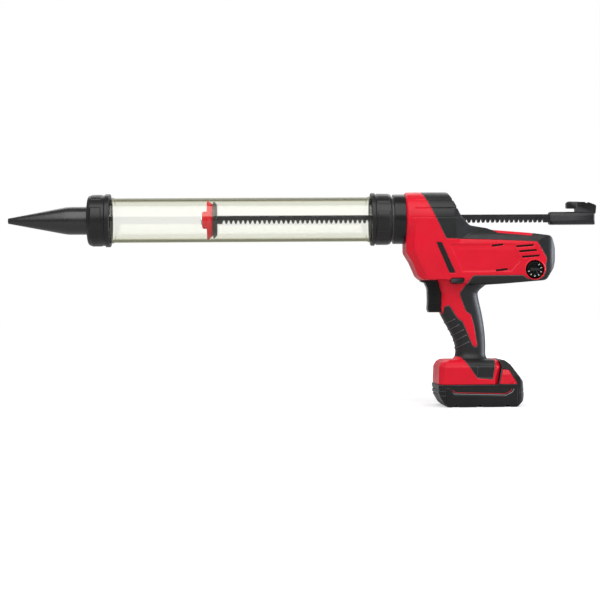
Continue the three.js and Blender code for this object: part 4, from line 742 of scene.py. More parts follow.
def make_end_grip():
    """The moulded end of the rod: a soft square bar with a rounded end."""
    x0, x1 = END_LOW.x, END_HIGH.x
    half = (END_HIGH.y - END_LOW.y) / 2 - 0.05
    z = END_LOW.z + half
    section = [
        (-half, z - half, 6.0), (half, z - half, 6.0), (half, z + half, 5.5), (-half, z + half, 5.5)]
    grip = prism(rounded(section, 8), "X", x0 + 1.4, x1)
    joined(grip, prism(shrunk(section, 0.7), "X", x0, x0 + 2))
    shared(grip, block(x0 - 1, x1, -20, 20, z - half - 1, z + half + 1))
    plan = rounded([
        (x0 - 1, -half - 1, 0), (x1, -half - 1, 5), (x1, half + 1, 5), (x0 - 1, half + 1, 0)], 6)
    shared(grip, prism(plan, "Z", 200, 300))
    without(grip, block(x0 - 1, x0 + 40, -5.3, 5.3, RACK_LOW.z - 0.3, 252.3))
    bevelled(grip, 0.7)
    finished(grip, "rod_end_grip", "rod", FINISHES["black_smooth"], ["rod_end_cap"])


def make_hook():
    """The hook: a peg on a block whose upper edges are cut back round the screw's hole."""
    end = END_HIGH.x
    seat = HOOK_LOW.z + 2.4
    top = HOOK_HIGH.z
    arm = prism(rounded([
        (end - 37, seat + 4.8, 1.5), (end - 25.3, seat + 4.6, 0.8), (end - 25, seat, 0), (end + 0.3, seat, 0),
        (end + 0.3, seat - 2.4, 0), (end + 1.2, seat - 1.8, 0.8), (end + 2.2, seat + 9, 3),
        (end - 8, top - 0.6, 4), (end - 37, top, 3)], 6), "Y", -5.5, 5.5)
    for side in (-1, 1):
        y0, y1 = sorted((side * 4.5, side * 7))
        without(arm, block(end - 38, end - 25.2, y0, y1, seat - 1, top + 1))
        slope = [
            (side * 6.5, seat + 8.2), (side * 6.5, top + 2), (side * 1.4, top + 2), (side * 1.4, top + 0.2)]
        without(arm, prism(slope, "X", end - 22.5, end + 3))
    x = end - 10
    without(arm, rod(3.2, "Z", seat + 4, top + 2, (x, 0, 0)), rod(1.7, "Z", seat - 9, top, (x, 0, 0)))
    bevelled(arm, 0.7)
    finished(arm, "hook_arm", "rod", FINISHES["black_smooth"], ["hang_hook"])
    low, high = millimetres("hook_screw")
    head = revolved(rounded([
        (0, low.z, 0), (1.2, low.z, 0), (1.2, high.z - 2, 0), (2.8, high.z - 2, 0.2),
        (2.8, high.z, 0.6), (0, high.z, 0)], 5), 48, "Z", (x, 0, 0))
    without(head, rod(1.3, "Z", high.z - 1.2, high.z + 1, (x, 0, 0), 6))
    finished(head, "hook_fixing", "rod", FINISHES["bright_steel"], ["hook_screw"])


# ------------------------------------------------------------------ housing drawings
HEAD_FRONT, HEAD_END, HEAD_RADIUS = -90.5, -9.6, 35.2
HEAD_BEVEL = 2.2
HALF_WIDTH = 34.0
CHIN_FLAT, CHIN_FACET, CHIN_Z, CHIN_SLANT = 25.0, 10.5, 204.0, 0.52
SADDLE_START, SADDLE_END, SADDLE_TAIL = -28.0, 22.0, 15.0
FOOT_BOTTOM, FOOT_CORNER = 29.5, 6.0
SHELL = 3.2
UPPER_SIDE = [
    (HEAD_FRONT, 201.5, 8), (-82.8, 189.5, 0), (-75, 171, 3), (-69, 166, 3), (-40, 166, 0),
    (-10, 159.5, 0), (13, 159, 0), (36, 160.3, 0), (92, 164.7, 8), (103, 181, 14), (108, 200, 16),
    (100, 223, 8), (74, 226.4, 0), (22, 231, 2), (17, 233.5, 2), (-8, 237, 8), (-20.5, 251.5, 0),
    (-34, 280.5, 5), (-42, 290, 0), (HEAD_FRONT, 290, 0)]
UPPER_PLAN = [
    (HEAD_FRONT, -25, 0), (-80, -34, 0), (-77, -36, 0), (68, -36, 26), (104, -28, 14), (109, 0, 0),
    (104, 28, 14), (68, 36, 26), (-77, 36, 0), (-80, 34, 0), (HEAD_FRONT, 25, 0)]
BARREL_SECTION = [
    (-32, 156, 14), (32, 156, 14), (34, 204, 0), (31.5, 233.5, 22), (-31.5, 233.5, 22), (-34, 204, 0)]
# Rings of the handle and of the foot: height, front, rear and half width.
HANDLE_RINGS = [
    (172, -50, 30, 28), (158, -47.5, 15, 23), (152, -46, 8, 20.5), (146, -45, 6, 19),
    (127, -46.4, 10, 17.5), (120.5, -43.6, 11.3, 17.5), (103, -34.3, 14.2, 17.5),
    (90, -27.6, 15.4, 17.5), (78, -24.2, 15.8, 17.5), (68, -24, 15.8, 18), (62, -27, 18, 21.5),
    (56, -32, 26, 28)]
FOOT_RINGS = [
    (FOOT_BOTTOM - 5, -50.2, 27.5, 37), (36, -50.2, 28, 37), (52.5, -49.5, 31, 37), (58.5, -46.5, 29.5, 32),
    (61.5, -42, 27.5, 27)]
# The rubber's edge; beyond the gun's own outline the corners only close the drawing.
RUBBER_SIDE = [
    (-20, 290, 0), (-71, 285, 0), (-39.5, 219.5, 1), (30, 217.5, 0), (80, 215, 3), (93, 193, 3),
    (90.8, 185, 0), (91.5, 178, 4), (87.5, 169, 4), (77, 165, 4), (66, 167.5, 3), (61, 171.5, 3),
    (-4, 171.5, 2), (-21, 148, 6), (-12, 124.5, 4), (-5.3, 120, 4), (-1.5, 106, 0), (2.5, 79, 0.8),
    (-0.5, 77.5, 0.8), (-3, 80, 0), (-16, 111.4, 3), (-22.5, 115.4, 3), (-33.5, 133, 1),
    (-39.8, 131, 0), (-41.6, 121.8, 0), (-60, 115, 0), (-60, 67, 0), (-19, 64.9, 3), (-0.6, 37.5, 1),
    (20.3, 36, 1), (24, 59.3, 1), (20.5, 64, 0), (60, 70, 0), (60, 150, 0), (125, 150, 0),
    (125, 250, 0), (10, 250, 0)]
PANEL_SIDE = [(-34.9, 211.9, 1), (-18.2, 176.2, 1), (46, 176.2, 2), (58, 190, 3), (50, 211.9, 3)]
PANEL_STEP = [(-29.7, 209.1, 1), (-15.6, 178.4, 1), (33, 178.1, 3), (49.8, 185.2, 3), (44.5, 209.1, 2)]
STRIP_SIDE = [(-52.6, 215.1), (-35.3, 175.0), (-27.1, 174.8), (-45.1, 214.6)]
FOOT_PATCH = [(-1.6, 38, 0.5), (22.2, 37.6, 0.5), (21.6, 54.6, 0.5), (1.2, 54.6, 0.5)]
TOP_SPINE = [(23, 231.6, 0), (28.5, 227.0, 1), (74, 222.6, 1), (74, 245, 0), (23, 245, 0)]
TAIL_EDGE = [(104.6, 217, 0), (107, 208, 1), (106, 199, 0), (125, 199, 0), (125, 217, 0)]
# Middle of each vent and how far it reaches either way.
VENTS = [
    (63.4, 209.6, 11.8), (67.3, 203.1, 11.8), (71.2, 195.9, 11.8), (27.8, 210.6, 7.5), (33.2, 178.4, 7.8)]
VENT_REACH = (20, 45)
HEAD_LINES = [
    ((-77.4, 270.0), (-25.0, 270.0)), ((-79.6, 259.5), (-20.0, 259.5)), ((-84.0, 247.2), (-10.0, 247.2))]
GRIP_LINES = [
    ((-40.5, 108.3), (-26.4, 114.1)), ((-36.5, 98.4), (-21.2, 106.9)), ((-33.0, 91.2), (-14.7, 100.3)),
    ((-31.0, 83.2), (-11.5, 93.1)), ((-30.0, 73.3), (-8.2, 84.5))]
SCREWS = [(-60, 266), (-76, 191), (-5, 166), (96, 198), (3, 100), (-42, 53)]
BOSS_RADIUS, SCREW_HOLE, RUBBER_HOLE = 5.2, 3.7, 4.4
DIAL_X, DIAL_Z, DIAL_RADIUS = 76.5, 178.5, 10.8
DIAL_RIM = 12.3
DIAL_FLUTES, DIAL_MARKS = 18, 7
# The first mark's angle and the angle between marks, in degrees.
MARK_START, MARK_STEP = -165, 36
LOCK_X, LOCK_Z = -24.8, 164.4
# How deep each thing lies under the skin: the recessed panel, the trim strip's bed and underside,
# and the front and back of the black sheets behind the vents, which are painted shade for their insides. The
# grip's ridges stand out of it.
PANEL_DEPTH = 0.9
STRIP_BED, STRIP_UNDER = 1.5, 1.2
SHADE_SHEET_FRONT, SHADE_SHEET_BACK = 1.7, 2.5
RIDGE_HEIGHT = 0.95
# Clearance round the rubber and round the trim strip.
RUBBER_GAP, STRIP_GAP = 0.22, 0.25
# Widths of the grooves in the head and of the grip's ridges.
HEAD_LINE, GRIP_LINE = 1.5, 1.2
# Grids of the skin, of the forms under it and of the finest pieces, as multiples of the housing's
# detail, and the share of the faces that the halves keep.
SKIN_GRID, UNDER_GRID, FINE_GRID = 1.4, 1.8, 0.9
HALF_FACES = 0.3


def smoothed_rings(rings, between=4):
    """More rings between the drawn ones, on a smooth line through them."""
    out = []
    for k in range(len(rings) - 1):
        before, a = rings[max(0, k - 1)], rings[k]
        b, after = rings[k + 1], rings[min(len(rings) - 1, k + 2)]
        for s in range(between):
            t = s / between
            row = []
            for p0, p1, p2, p3 in zip(before, a, b, after):
                m1, m2 = (p2 - p0) / 2, (p3 - p1) / 2
                h = (2 * t**3 - 3 * t**2 + 1) * p1 + (t**3 - 2 * t**2 + t) * m1
                row.append(h + (-2 * t**3 + 3 * t**2) * p2 + (t**3 - t**2) * m2)
            out.append(tuple(row))
    out.append(rings[-1])
    return out


def chin_x(half_width, inset):
    """Where the bevel beside the chin stands at a half width, on a skin moved inwards."""
    rise = HALF_WIDTH - CHIN_FLAT
    moved = inset * math.hypot(CHIN_FACET, rise) / rise
    return HEAD_FRONT + moved + (half_width - CHIN_FLAT) * CHIN_FACET / rise


def head_form(inset):
    """The round nose, which draws in behind to meet the motor barrel."""
    front, back, r = HEAD_FRONT + inset, HEAD_END - inset, HEAD_RADIUS - inset
    start = SADDLE_START - inset / 2
    taper = (HEAD_RADIUS - SADDLE_TAIL) / (SADDLE_END - SADDLE_START)
    return revolved([
        (0, front), (r - HEAD_BEVEL, front), (r, front + HEAD_BEVEL), (r, start),
        (r - (HEAD_END - SADDLE_START) * taper, back), (0, back)])


def saddle_form(inset):
    """The head's straight cheeks, from its widest line down to the motor barrel."""
    r, low, end = HEAD_RADIUS - inset, HALF_WIDTH - inset, SADDLE_END - inset
    tail, start = SADDLE_TAIL - inset, SADDLE_START - inset / 2
    cheeks = prism([(-low, CHIN_Z), (low, CHIN_Z), (r, AXIS_Z), (-r, AXIS_Z)], "X", HEAD_FRONT + inset, end)
    plan = [(chin_x(0, inset), 0), (chin_x(r, inset), -r), (start, -r), (end, -tail),
            (end, tail), (start, r), (chin_x(r, inset), r)]
    return shared(cheeks, prism(plan, "Z", CHIN_Z - 1, AXIS_Z + 1))


def chin_bevels(inset):
    """What is cut from the head's lower front corners; the cut slants back with the chin."""
    wide, base = 2 * HALF_WIDTH, 150.0
    tools = []
    for y in (-wide, wide):
        plan = [(chin_x(0, inset), 0), (chin_x(wide, inset), y), (chin_x(0, inset), y)]
        back = CHIN_SLANT * (CHIN_Z - base)
        tools.append(lofted([[(x + back, v, base) for x, v in plan], [(x, v, CHIN_Z) for x, v in plan]]))
    return tools


def foot_form(inset):
    """The foot over the battery, a box with bevelled corners."""
    rings = []
    c = FOOT_CORNER
    for k, (z, front, rear, half) in enumerate(FOOT_RINGS):
        if k == 0 and inset:
            z = FOOT_BOTTOM + inset
        elif k == len(FOOT_RINGS) - 1:
            z -= inset
        x0, x1, y = front + inset, rear - inset, half - inset
        plan = ((x0, c - y), (x0 + c, -y), (x1 - c, -y), (x1, c - y),
                (x1, y - c), (x1 - c, y), (x0 + c, y), (x0, y - c))
        rings.append([(px, py, z) for px, py in plan])
    return lofted(rings)


def gun_form(inset):
    """The whole outer form of the handle, head and motor barrel, moved inwards."""
    side = prism(shrunk(UPPER_SIDE, inset), "Y", -40, 40)
    plan = prism(shrunk(UPPER_PLAN, inset), "Z", 150, 245)
    section = prism(shrunk(BARREL_SECTION, inset), "X", HEAD_FRONT - 1, 112)
    low = without(shared(plan, section), *chin_bevels(inset))
    upper = shared(side, joined(head_form(inset), saddle_form(inset), low))
    handle = lofted([squircle(z, x0 + inset, x1 - inset, wide - inset, 2.5)
                     for z, x0, x1, wide in smoothed_rings(HANDLE_RINGS)])
    return joined(upper, handle, foot_form(inset))


def rubber_region(inset):
    """Where the rubber lies, without the red spine along the top and down the tail."""
    bare = [full_width(shrunk(outline, -inset, 4)) for outline in (TOP_SPINE, TAIL_EDGE)]
    return without(full_width(shrunk(RUBBER_SIDE, inset, 6)), *bare)


def lock_outline(gap):
    """The lock button's outline with a gap round it."""
    return rounded([
        (LOCK_X - 8.5 - gap, LOCK_Z + 3.1 + gap, 1), (LOCK_X - 8.5 - gap, LOCK_Z - 3.1 - gap, 3),
        (LOCK_X + 8.5 + gap, LOCK_Z - 3.1 - gap, 3), (LOCK_X + 8.5 + gap, LOCK_Z + 3.1 + gap, 1)], 6)


def vent_slots(low, high):
    """The vents as slanted slots through both sides, between two half widths."""
    slots = []
    for x, z, reach in VENTS:
        outline = [(x - reach, z - 2.1), (x + reach, z - 0.3), (x + reach, z + 2.1), (x - reach, z + 0.3)]
        slots += [prism(outline, "Y", -high, -low), prism(outline, "Y", low, high)]
    return slots


def openings():
    """What passes through the shells: nose, rack, trigger, lock button, dial, battery well and vents."""
    return [
        rod(28.0, "X", HEAD_FRONT - 5, HEAD_FRONT + 5, (0, 0, AXIS_Z), 96),
        block(-40, 8, -5.3, 5.3, 241.2, 252.3),
        block(-80, -29.7, -9.3, 9.3, 123.1, 166),
        prism(lock_outline(0.3), "Y", -45, 45),
        rod(DIAL_RIM, "Y", -45, -27, (DIAL_X, 0, DIAL_Z), 96),
        block(-42, 60, -21.1, 21.1, 24, 34),
        block(-42, 60, -24.3, 24.3, 33.9, 45.3),
        *vent_slots(*VENT_REACH)]


def pressed(outline_prism, depth_form):
    """The part of a prism outside a form: what presses its outline into the skin down to the form."""
    return without(outline_prism, depth_form, keep=(depth_form,))


def lines_along(ends, width):
    """One tool for several straight lines on both sides."""
    tools = [full_width(strip_between(*line, width)) for line in ends]
    return joined(tools[0], *tools[1:])


def soft_form(inset, grid, passes):
    """The gun's form moved inwards, with its edges softened as in moulding."""
    return moulded(gun_form(inset), bpy.context.scene.caulk_sizes.housing_voxel * grid, passes)


def bossed(shell, skin):
    """Joins the screw bosses to the shell and bores them from outside."""
    for x, z in SCREWS:
        boss = rod(BOSS_RADIUS, "Y", 5, 40, (x, 0, z), 32)
        joined(shell, shared(boss, skin, keep=(skin,)))
        without(shell, rod(SCREW_HOLE, "Y", 9, 50, (x, 0, z), 32))


def make_housing():
    """The red shells, the rubber on them, the trim strips, and black sheets behind the vents that are painted
    shade for their insides.

    Each is made whole from the same skin and then split into a left and a right half.
    """
    sizes = bpy.context.scene.caulk_sizes
    voxel = sizes.housing_voxel
    skin = soft_form(0, SKIN_GRID, 5)
    without(skin, block(-70, 60, -60, 60, 10, FOOT_BOTTOM))
    under_rubber = soft_form(sizes.rubber_thickness / MM, UNDER_GRID, 4)
    under_groove = soft_form(sizes.groove_depth / MM, SKIN_GRID, 5)
    under_panel = soft_form(PANEL_DEPTH, UNDER_GRID, 3)
    strip_bed = soft_form(STRIP_BED, UNDER_GRID, 6)
    lines = pressed(lines_along(HEAD_LINES, HEAD_LINE), under_groove)
    patch = pressed(full_width(rounded(FOOT_PATCH)), under_panel)
    ridges = shared(lines_along(GRIP_LINES, GRIP_LINE), soft_form(-RIDGE_HEIGHT, UNDER_GRID, 4))
    tools = openings()

    shell = without(copied(skin), gun_form(SHELL))
    bossed(shell, skin)
    without(shell, without(rubber_region(0), under_rubber, keep=(under_rubber,)))
    without(shell, pressed(full_width(rounded(PANEL_SIDE, 6)), under_panel))
    without(shell, pressed(full_width(rounded(PANEL_STEP, 6)), under_groove))
    without(shell, pressed(full_width(STRIP_SIDE), strip_bed))
    without(shell, lines, keep=(lines,))
    dial_rim = [(10, -27.5), (DIAL_RIM + 1.1, -27.5), (DIAL_RIM + 1.1, -33.9), (10, -33.9)]
    joined(shell, revolved(dial_rim, axis="Y", centre=(DIAL_X, 0, DIAL_Z)))
    without(shell, *tools, keep=tools)

    grip = shared(copied(skin), rubber_region(RUBBER_GAP))
    without(grip, under_rubber, lines, patch)
    joined(grip, ridges)
    without(grip, *[rod(RUBBER_HOLE, "Y", 1, 50, (x, 0, z), 32) for x, z in SCREWS], *tools)

    region = full_width(shrunk([(x, z, 0) for x, z in STRIP_SIDE], STRIP_GAP))
    strip = without(shared(copied(skin), region), soft_form(STRIP_UNDER, UNDER_GRID, 6))

    # Black sheets a little under the skin behind the vents: painted shade for the inside of the vents.
    shade_sheets = vent_slots(*VENT_REACH)
    shade_sheets = shared(joined(shade_sheets[0], *shade_sheets[1:]), gun_form(SHADE_SHEET_FRONT))
    without(shade_sheets, gun_form(SHADE_SHEET_BACK))

    for side in SIDES:
        half = moulded(half_of(shell, side), voxel, 3, HALF_FACES)
        finished(half, f"shell_{side}", "gun_body", FINISHES["red_shell"],
                 [f"housing_{side}"], 0)
        half = moulded(half_of(grip, side), voxel * FINE_GRID, 2, HALF_FACES)
        finished(half, f"soft_grip_{side}", "gun_body", FINISHES["grip_rubber"],
                 [f"rubber_grip_{side}"], 0)
        finished(half_of(shade_sheets, side), f"vent_shade_sheets_{side}", "gun_body",
                 FINISHES["black_gloss"])
        finished(half_of(strip, side), f"trim_strip_{side}", "gun_body",
                 FINISHES["black_satin"], [f"side_strip_{side}"])
    for piece in (skin, under_groove, under_panel, strip_bed, shell, grip, shade_sheets, strip):
        bpy.data.objects.remove(piece)


# ------------------------------------------------------------------ controls
def make_trigger():
    """The trigger, hollowed at its front for the finger."""
    voxel = bpy.context.scene.caulk_sizes.soft_voxel
    side = rounded([
        (-71.2, 165.7, 0.4), (-68.6, 163.4, 3), (-64.6, 162.6, 3), (-60.8, 155, 10), (-60.3, 139, 0),
        (-61, 127.5, 4), (-59.5, 123.4, 1), (-37, 123.4, 0), (-37, 159, 0), (-46, 159, 0),
        (-46, 165.7, 0)])
    plan = rounded([(-75, -7.5, 2), (-58, -9, 6), (-37, -9, 0), (-37, 9, 0), (-58, 9, 6), (-75, 7.5, 2)])
    trigger = shared(prism(side, "Y", -9, 9), prism(plan, "Z", 120, 170))
    moulded(trigger, voxel * 1.3, 6, keep=0.4)
    finished(trigger, "trigger_paddle", "trigger", FINISHES["black_smooth"], ["trigger"], 0)


def make_lock_button():
    """The button that slides from side to side to lock the trigger."""
    low, high = millimetres("lock_button")
    bar = prism(lock_outline(0), "Y", low.y + 5, high.y - 5)
    for y0, y1 in ((low.y, low.y + 6), (high.y - 6, high.y)):
        joined(bar, prism(lock_outline(-0.01), "Y", y0, y1))
    bevelled(bar, 0.9, 4)
    finished(bar, "lock_slider", "lock_button", FINISHES["black_smooth"], ["lock_button"])


def make_dial():
    """The dial in its recess, with finger flutes round its edge and pale marks on its face."""
    y0 = millimetres("speed_dial")[0].y
    r = DIAL_RADIUS
    centre = (DIAL_X, 0, DIAL_Z)
    knob = revolved(rounded([
        (0, y0 + 1.2, 0), (r - 4.6, y0 + 1.2, 0.5), (r - 3.8, y0 + 0.2, 0.5), (r - 0.8, y0, 0.9),
        (r, y0 + 5.5, 0.4), (0, y0 + 5.5, 0)], 5), axis="Y", centre=centre)
    for k in range(DIAL_FLUTES):
        angle = 2 * math.pi * k / DIAL_FLUTES
        at = (DIAL_X + (r + 0.5) * math.cos(angle), 0, DIAL_Z + (r + 0.5) * math.sin(angle))
        without(knob, rod(1.1, "Y", y0 - 1, y0 + 4.4, at, 16))
    fin = [(-6.4, -1.6, 1.2), (6.4, -1.6, 1.2), (6.4, 1.6, 1.2), (-6.4, 1.6, 1.2)]
    joined(knob, prism(rounded([(DIAL_X + x, DIAL_Z + z, c) for x, z, c in fin], 5), "Y", y0 + 0.1, y0 + 3))
    bevelled(knob, 0.25, 2)
    finished(knob, "dial_knob", "speed_dial", FINISHES["black_dial"], ["speed_dial"], 35)
    for k in range(DIAL_MARKS):
        angle = math.radians(MARK_START + MARK_STEP * k)
        ends = [(DIAL_X + reach * math.cos(angle), DIAL_Z + reach * math.sin(angle))
                for reach in (r - 3.6, r - 1.3)]
        mark = prism(strip_between(*ends, 0.9), "Y", y0 - 0.03, y0 + 0.6)
        finished(mark, f"dial_mark_{k + 1}", "speed_dial", FINISHES["pale_mark"])


# ------------------------------------------------------------------ battery
BATTERY_TOP = FOOT_BOTTOM - 0.3
BATTERY_SIDE = [
    (-51, BATTERY_TOP, 1), (-50.5, 16, 4), (-43.5, 4, 3), (-39, 0, 4), (51.5, 0, 5), (59.5, 7.5, 5),
    (61, 15, 0), (59.5, 33.5, 3), (49, 47.6, 2), (43.5, 55.4, 2), (36, 61, 2), (28.5, 61, 1),
    (32, 52.5, 0), (26.9, BATTERY_TOP, 0)]
BATTERY_PLAN = [(-55, -35, 10), (-20, -37, 0), (62, -37, 10), (62, 37, 10), (-20, 37, 0), (-55, 35, 10)]
BATTERY_SECTION = [(-37, -1, 4), (37, -1, 4), (37, 40, 0), (31, 64, 5), (-31, 64, 5), (-37, 40, 0)]
LATCH_SIDE = [(28.8, 30, 1), (51.5, 30, 1), (51, 32, 1), (46.4, 39, 1), (41.2, 48, 1), (33.3, 49.2, 1)]
LATCH_MARK = [(45.6, 31.0), (49.0, 31.0), (47.6, 34.2)]
BAND_SIDE = [
    (-45.6, 27.2, 0), (-35.2, 23.5, 0), (-31.3, 15.9, 1), (35.2, 14, 1), (45.6, 19.1, 1),
    (49.6, 25.5, 0), (27, 25.5, 0), (26, 27.2, 0)]
BAND_LINES = {
    "grey": [(-34.3, 20.6), (-30.6, 17.7), (37.6, 15.6), (45.3, 19.9), (47.4, 24.0)],
    "red": [(-33.0, 22.4), (-29.2, 19.4), (36.2, 17.4), (43.2, 21.0), (44.6, 24.0)]}
# Depth of the band's bed, then the outer and inner face of the band and of the lines on it.
BAND_BED = 0.6
BAND_FRONT, BAND_BACK = 0.45, 1.2
LINE_FRONT, LINE_BACK = 0.38, 0.9
LINE_WIDTH = 0.6
# Clearance round the bands and round the latches.
BAND_GAP, LATCH_GAP = 0.25, 0.45
# Front, rear, bottom, top and depth of the creases round the corners and of the seam above the base.
CREASES = [
    (-70, -40.5, 21.7, 23.3, 1.4), (-70, -40.5, 15.7, 17.3, 1.4), (-41.2, -39.8, 4, 27, 1.2),
    (51.9, 53.3, 4, 27, 1.2), (52.6, 80, 19.4, 20.4, 0.8), (-80, 80, 7.9, 8.4, 0.7)]
BASE_NOTCHES = (-29, 2.6, 39)


def battery_form(inset):
    """The battery's outer form, moved inwards."""
    side = full_width(shrunk(BATTERY_SIDE, inset))
    plan = prism(shrunk(BATTERY_PLAN, inset), "Z", -5, 70)
    section = prism(shrunk(BATTERY_SECTION, inset), "X", -70, 70)
    return shared(side, plan, section)


def battery_case():
    """The case with its sliding foot, and everything that is pressed or cut into it."""
    top = BATTERY_TOP - 2
    neck, flange = block(-35.4, 34, -20.8, 20.8, top, 36), block(-35.4, 34, -24, 24, 34.3, 45)
    case = joined(battery_form(0), neck, flange)
    for y in (-12, 0, 12):
        without(case, block(-36.5, -27, y - 0.9, y + 0.9, 36, 43))
    without(case, without(full_width(rounded(BAND_SIDE, 6)), battery_form(BAND_BED)))
    for low, high in ((-60, -27.8), (27.8, 60)):
        without(case, prism(shrunk(LATCH_SIDE, -LATCH_GAP, 6), "Y", low, high))
    for x0, x1, z0, z1, depth in CREASES:
        without(case, without(block(x0, x1, -BEYOND, BEYOND, z0, z1), battery_form(depth)))
    for x in BASE_NOTCHES:
        notch = [(x - 4.6, -1), (x + 4.6, -1), (x + 2.4, 3.4), (x - 2.4, 3.4)]
        without(case, prism(notch, "Y", -50, -30), prism(notch, "Y", 30, 50))
    return case


def make_battery():
    """The battery's case, and on each side a bare glossy band with two thin lines."""
    voxel = bpy.context.scene.caulk_sizes.housing_voxel
    case = moulded(battery_case(), voxel * FINE_GRID, 3, keep=0.4)
    finished(case, "battery_shell", "battery", FINISHES["black_textured"],
             ["battery_case", "battery_base"], 0)
    window = shared(battery_form(BAND_FRONT), full_width(shrunk(BAND_SIDE, BAND_GAP, 6)))
    without(window, battery_form(BAND_BACK))
    for side, low, high in (("left", -60, -5), ("right", 5, 60)):
        band = shared(copied(window), block(-80, 80, low, high, -5, 80))
        finished(band, f"battery_band_{side}", "battery", FINISHES["black_gloss"],
                 angle=30)
        for name, path in BAND_LINES.items():
            runs = [strip_between(a, b, LINE_WIDTH) for a, b in zip(path, path[1:])]
            pieces = [prism(run, "Y", low, high) for run in runs]
            line = shared(joined(pieces[0], *pieces[1:]), battery_form(LINE_FRONT))
            without(line, battery_form(LINE_BACK))
            finished(line, f"band_line_{name}_{side}", "battery",
                     FINISHES[f"{name}_mark"], angle=30)
    bpy.data.objects.remove(window)


def make_latches():
    """The two red buttons that free the battery, each with a small mark pressed in."""
    voxel = bpy.context.scene.caulk_sizes.soft_voxel
    for side, low, high in (("left", -36.4, -31.4), ("right", 31.4, 36.4)):
        latch = prism(shrunk(LATCH_SIDE, 0.0, 6), "Y", low, high)
        shared(latch, battery_form(0.1))
        mark_low, mark_high = (low - 1, low + 0.7) if low < 0 else (high - 0.7, high + 1)
        without(latch, prism(LATCH_MARK, "Y", mark_low, mark_high))
        moulded(latch, voxel, 3, keep=0.4)
        finished(latch, f"latch_{side}", f"latch_{side}", FINISHES["red_gloss"],
                 [f"battery_latch_{side}"], 0)


# ------------------------------------------------------------------ inner pieces
INNER = {
    "nozzle_seal": "grip_rubber", "gear_case": "cast_black", "rack_guide": "cast_black",
    "planetary_gearbox": "cast_black", "motor": "blackened_steel", "terminal_block": "black_satin",
    "control_board": "solder_mask", "trigger_switch": "black_satin", "dial_potentiometer": "solder_mask",
}


def make_inner_parts():
    """Every node that keeps its own mesh gets its finish."""
    for name, node in NODES.items():
        finish = INNER.get(name)
        if name.startswith("cell_"):
            finish = "cell_sleeve"
        node.data.materials.clear()
        node.data.materials.append(FINISHES[finish or "bright_steel"])


# ------------------------------------------------------------------ stage
# Distances in metres between which the floor fades to white, and the white backdrop's share in mirrors.
FLOOR_FADE = (0.5, 1.5)
MIRRORED_BACKDROP = 0.2


def soft_light(name, place, target, width, height, power, tint=(1, 1, 1)):
    """A rectangular lamp at a place, turned to its target."""
    lamp = bpy.data.lights.new(name, "AREA")
    lamp.shape, lamp.size, lamp.size_y = "RECTANGLE", width, height
    lamp.energy, lamp.color = power, tint
    fixture = bpy.data.objects.new(name, lamp)
    bpy.context.scene.collection.objects.link(fixture)
    fixture.location = place
    fixture.rotation_euler = (Vector(target) - Vector(place)).to_track_quat("-Z", "Y").to_euler()


def make_floor():
    """A pale floor, which looks whiter to the camera the further it is from the gun."""
    reach = 6000
    corners = [(-reach, -reach, 0), (reach, -reach, 0), (reach, reach, 0), (-reach, reach, 0)]
    floor = made(corners, [(0, 1, 2, 3)], "floor")
    finish, tree, surface = tree_of("pale_floor")
    surface.inputs["Base Color"].default_value = (0.62, 0.62, 0.62, 1)
    surface.inputs["Roughness"].default_value = 0.9
    surface.inputs["Specular IOR Level"].default_value = 0.1
    surface.inputs["Emission Color"].default_value = (1, 1, 1, 1)
    seen = seen_directly(tree, added(tree, "ShaderNodeLightPath"))
    place = added(tree, "ShaderNodeTexCoord")
    away = added(tree, "ShaderNodeVectorMath", operation="LENGTH")
    tree.links.new(place.outputs["Object"], away.inputs[0])
    glow = spread(tree, away.outputs["Value"], 0.45, 1.0, *FLOOR_FADE)
    tree.links.new(worked_out(tree, "MULTIPLY", seen, glow), surface.inputs["Emission Strength"])
    floor.data.materials.append(finish)


def make_room():
    """White behind the gun for the camera and the clear tube, and a dim room for all other light."""
    world = bpy.data.worlds.new("studio")
    bpy.context.scene.world = world
    world.use_nodes = True
    tree = world.node_tree
    tree.nodes.clear()
    path = added(tree, "ShaderNodeLightPath")
    place = added(tree, "ShaderNodeTexCoord")
    parts = added(tree, "ShaderNodeSeparateXYZ")
    tree.links.new(place.outputs["Generated"], parts.inputs[0])
    backdrop = spread(tree, parts.outputs["Y"], 0.0, MIRRORED_BACKDROP, 0.75, 0.99)
    mirrored = worked_out(tree, "MULTIPLY", path.outputs["Is Glossy Ray"], backdrop)
    share = worked_out(tree, "MAXIMUM", seen_directly(tree, path), mirrored)
    room = added(tree, "ShaderNodeBackground", Strength=bpy.context.scene.caulk_stage.room_light)
    room.inputs["Color"].default_value = (0.97, 0.98, 1.0, 1)
    white = added(tree, "ShaderNodeBackground", Strength=1.0)
    white.inputs["Color"].default_value = (1, 1, 1, 1)
    output = added(tree, "ShaderNodeOutputWorld")
    mixed = blended(tree, share, room.outputs[0], white.outputs[0])
    tree.links.new(mixed, output.inputs["Surface"])


def make_stage():
    """The floor, the room and the lamps: a softbox before the gun and weaker ones behind and beside."""
    make_floor()
    make_room()
    power = bpy.context.scene.caulk_stage.softbox_power
    middle = (-0.25, 0, 0.22)
    soft_light("front_softbox", (-0.35, -1.3, 1.6), middle, 2.4, 2.1, power)
    soft_light("right_rim", (1.4, 0.05, 0.3), (0.0, 0, 0.12), 0.9, 0.7, power * 0.5, (0.84, 0.89, 1.0))
    soft_light("back_softbox", (-0.2, 1.5, 1.4), middle, 2.2, 1.0, power * 0.28)


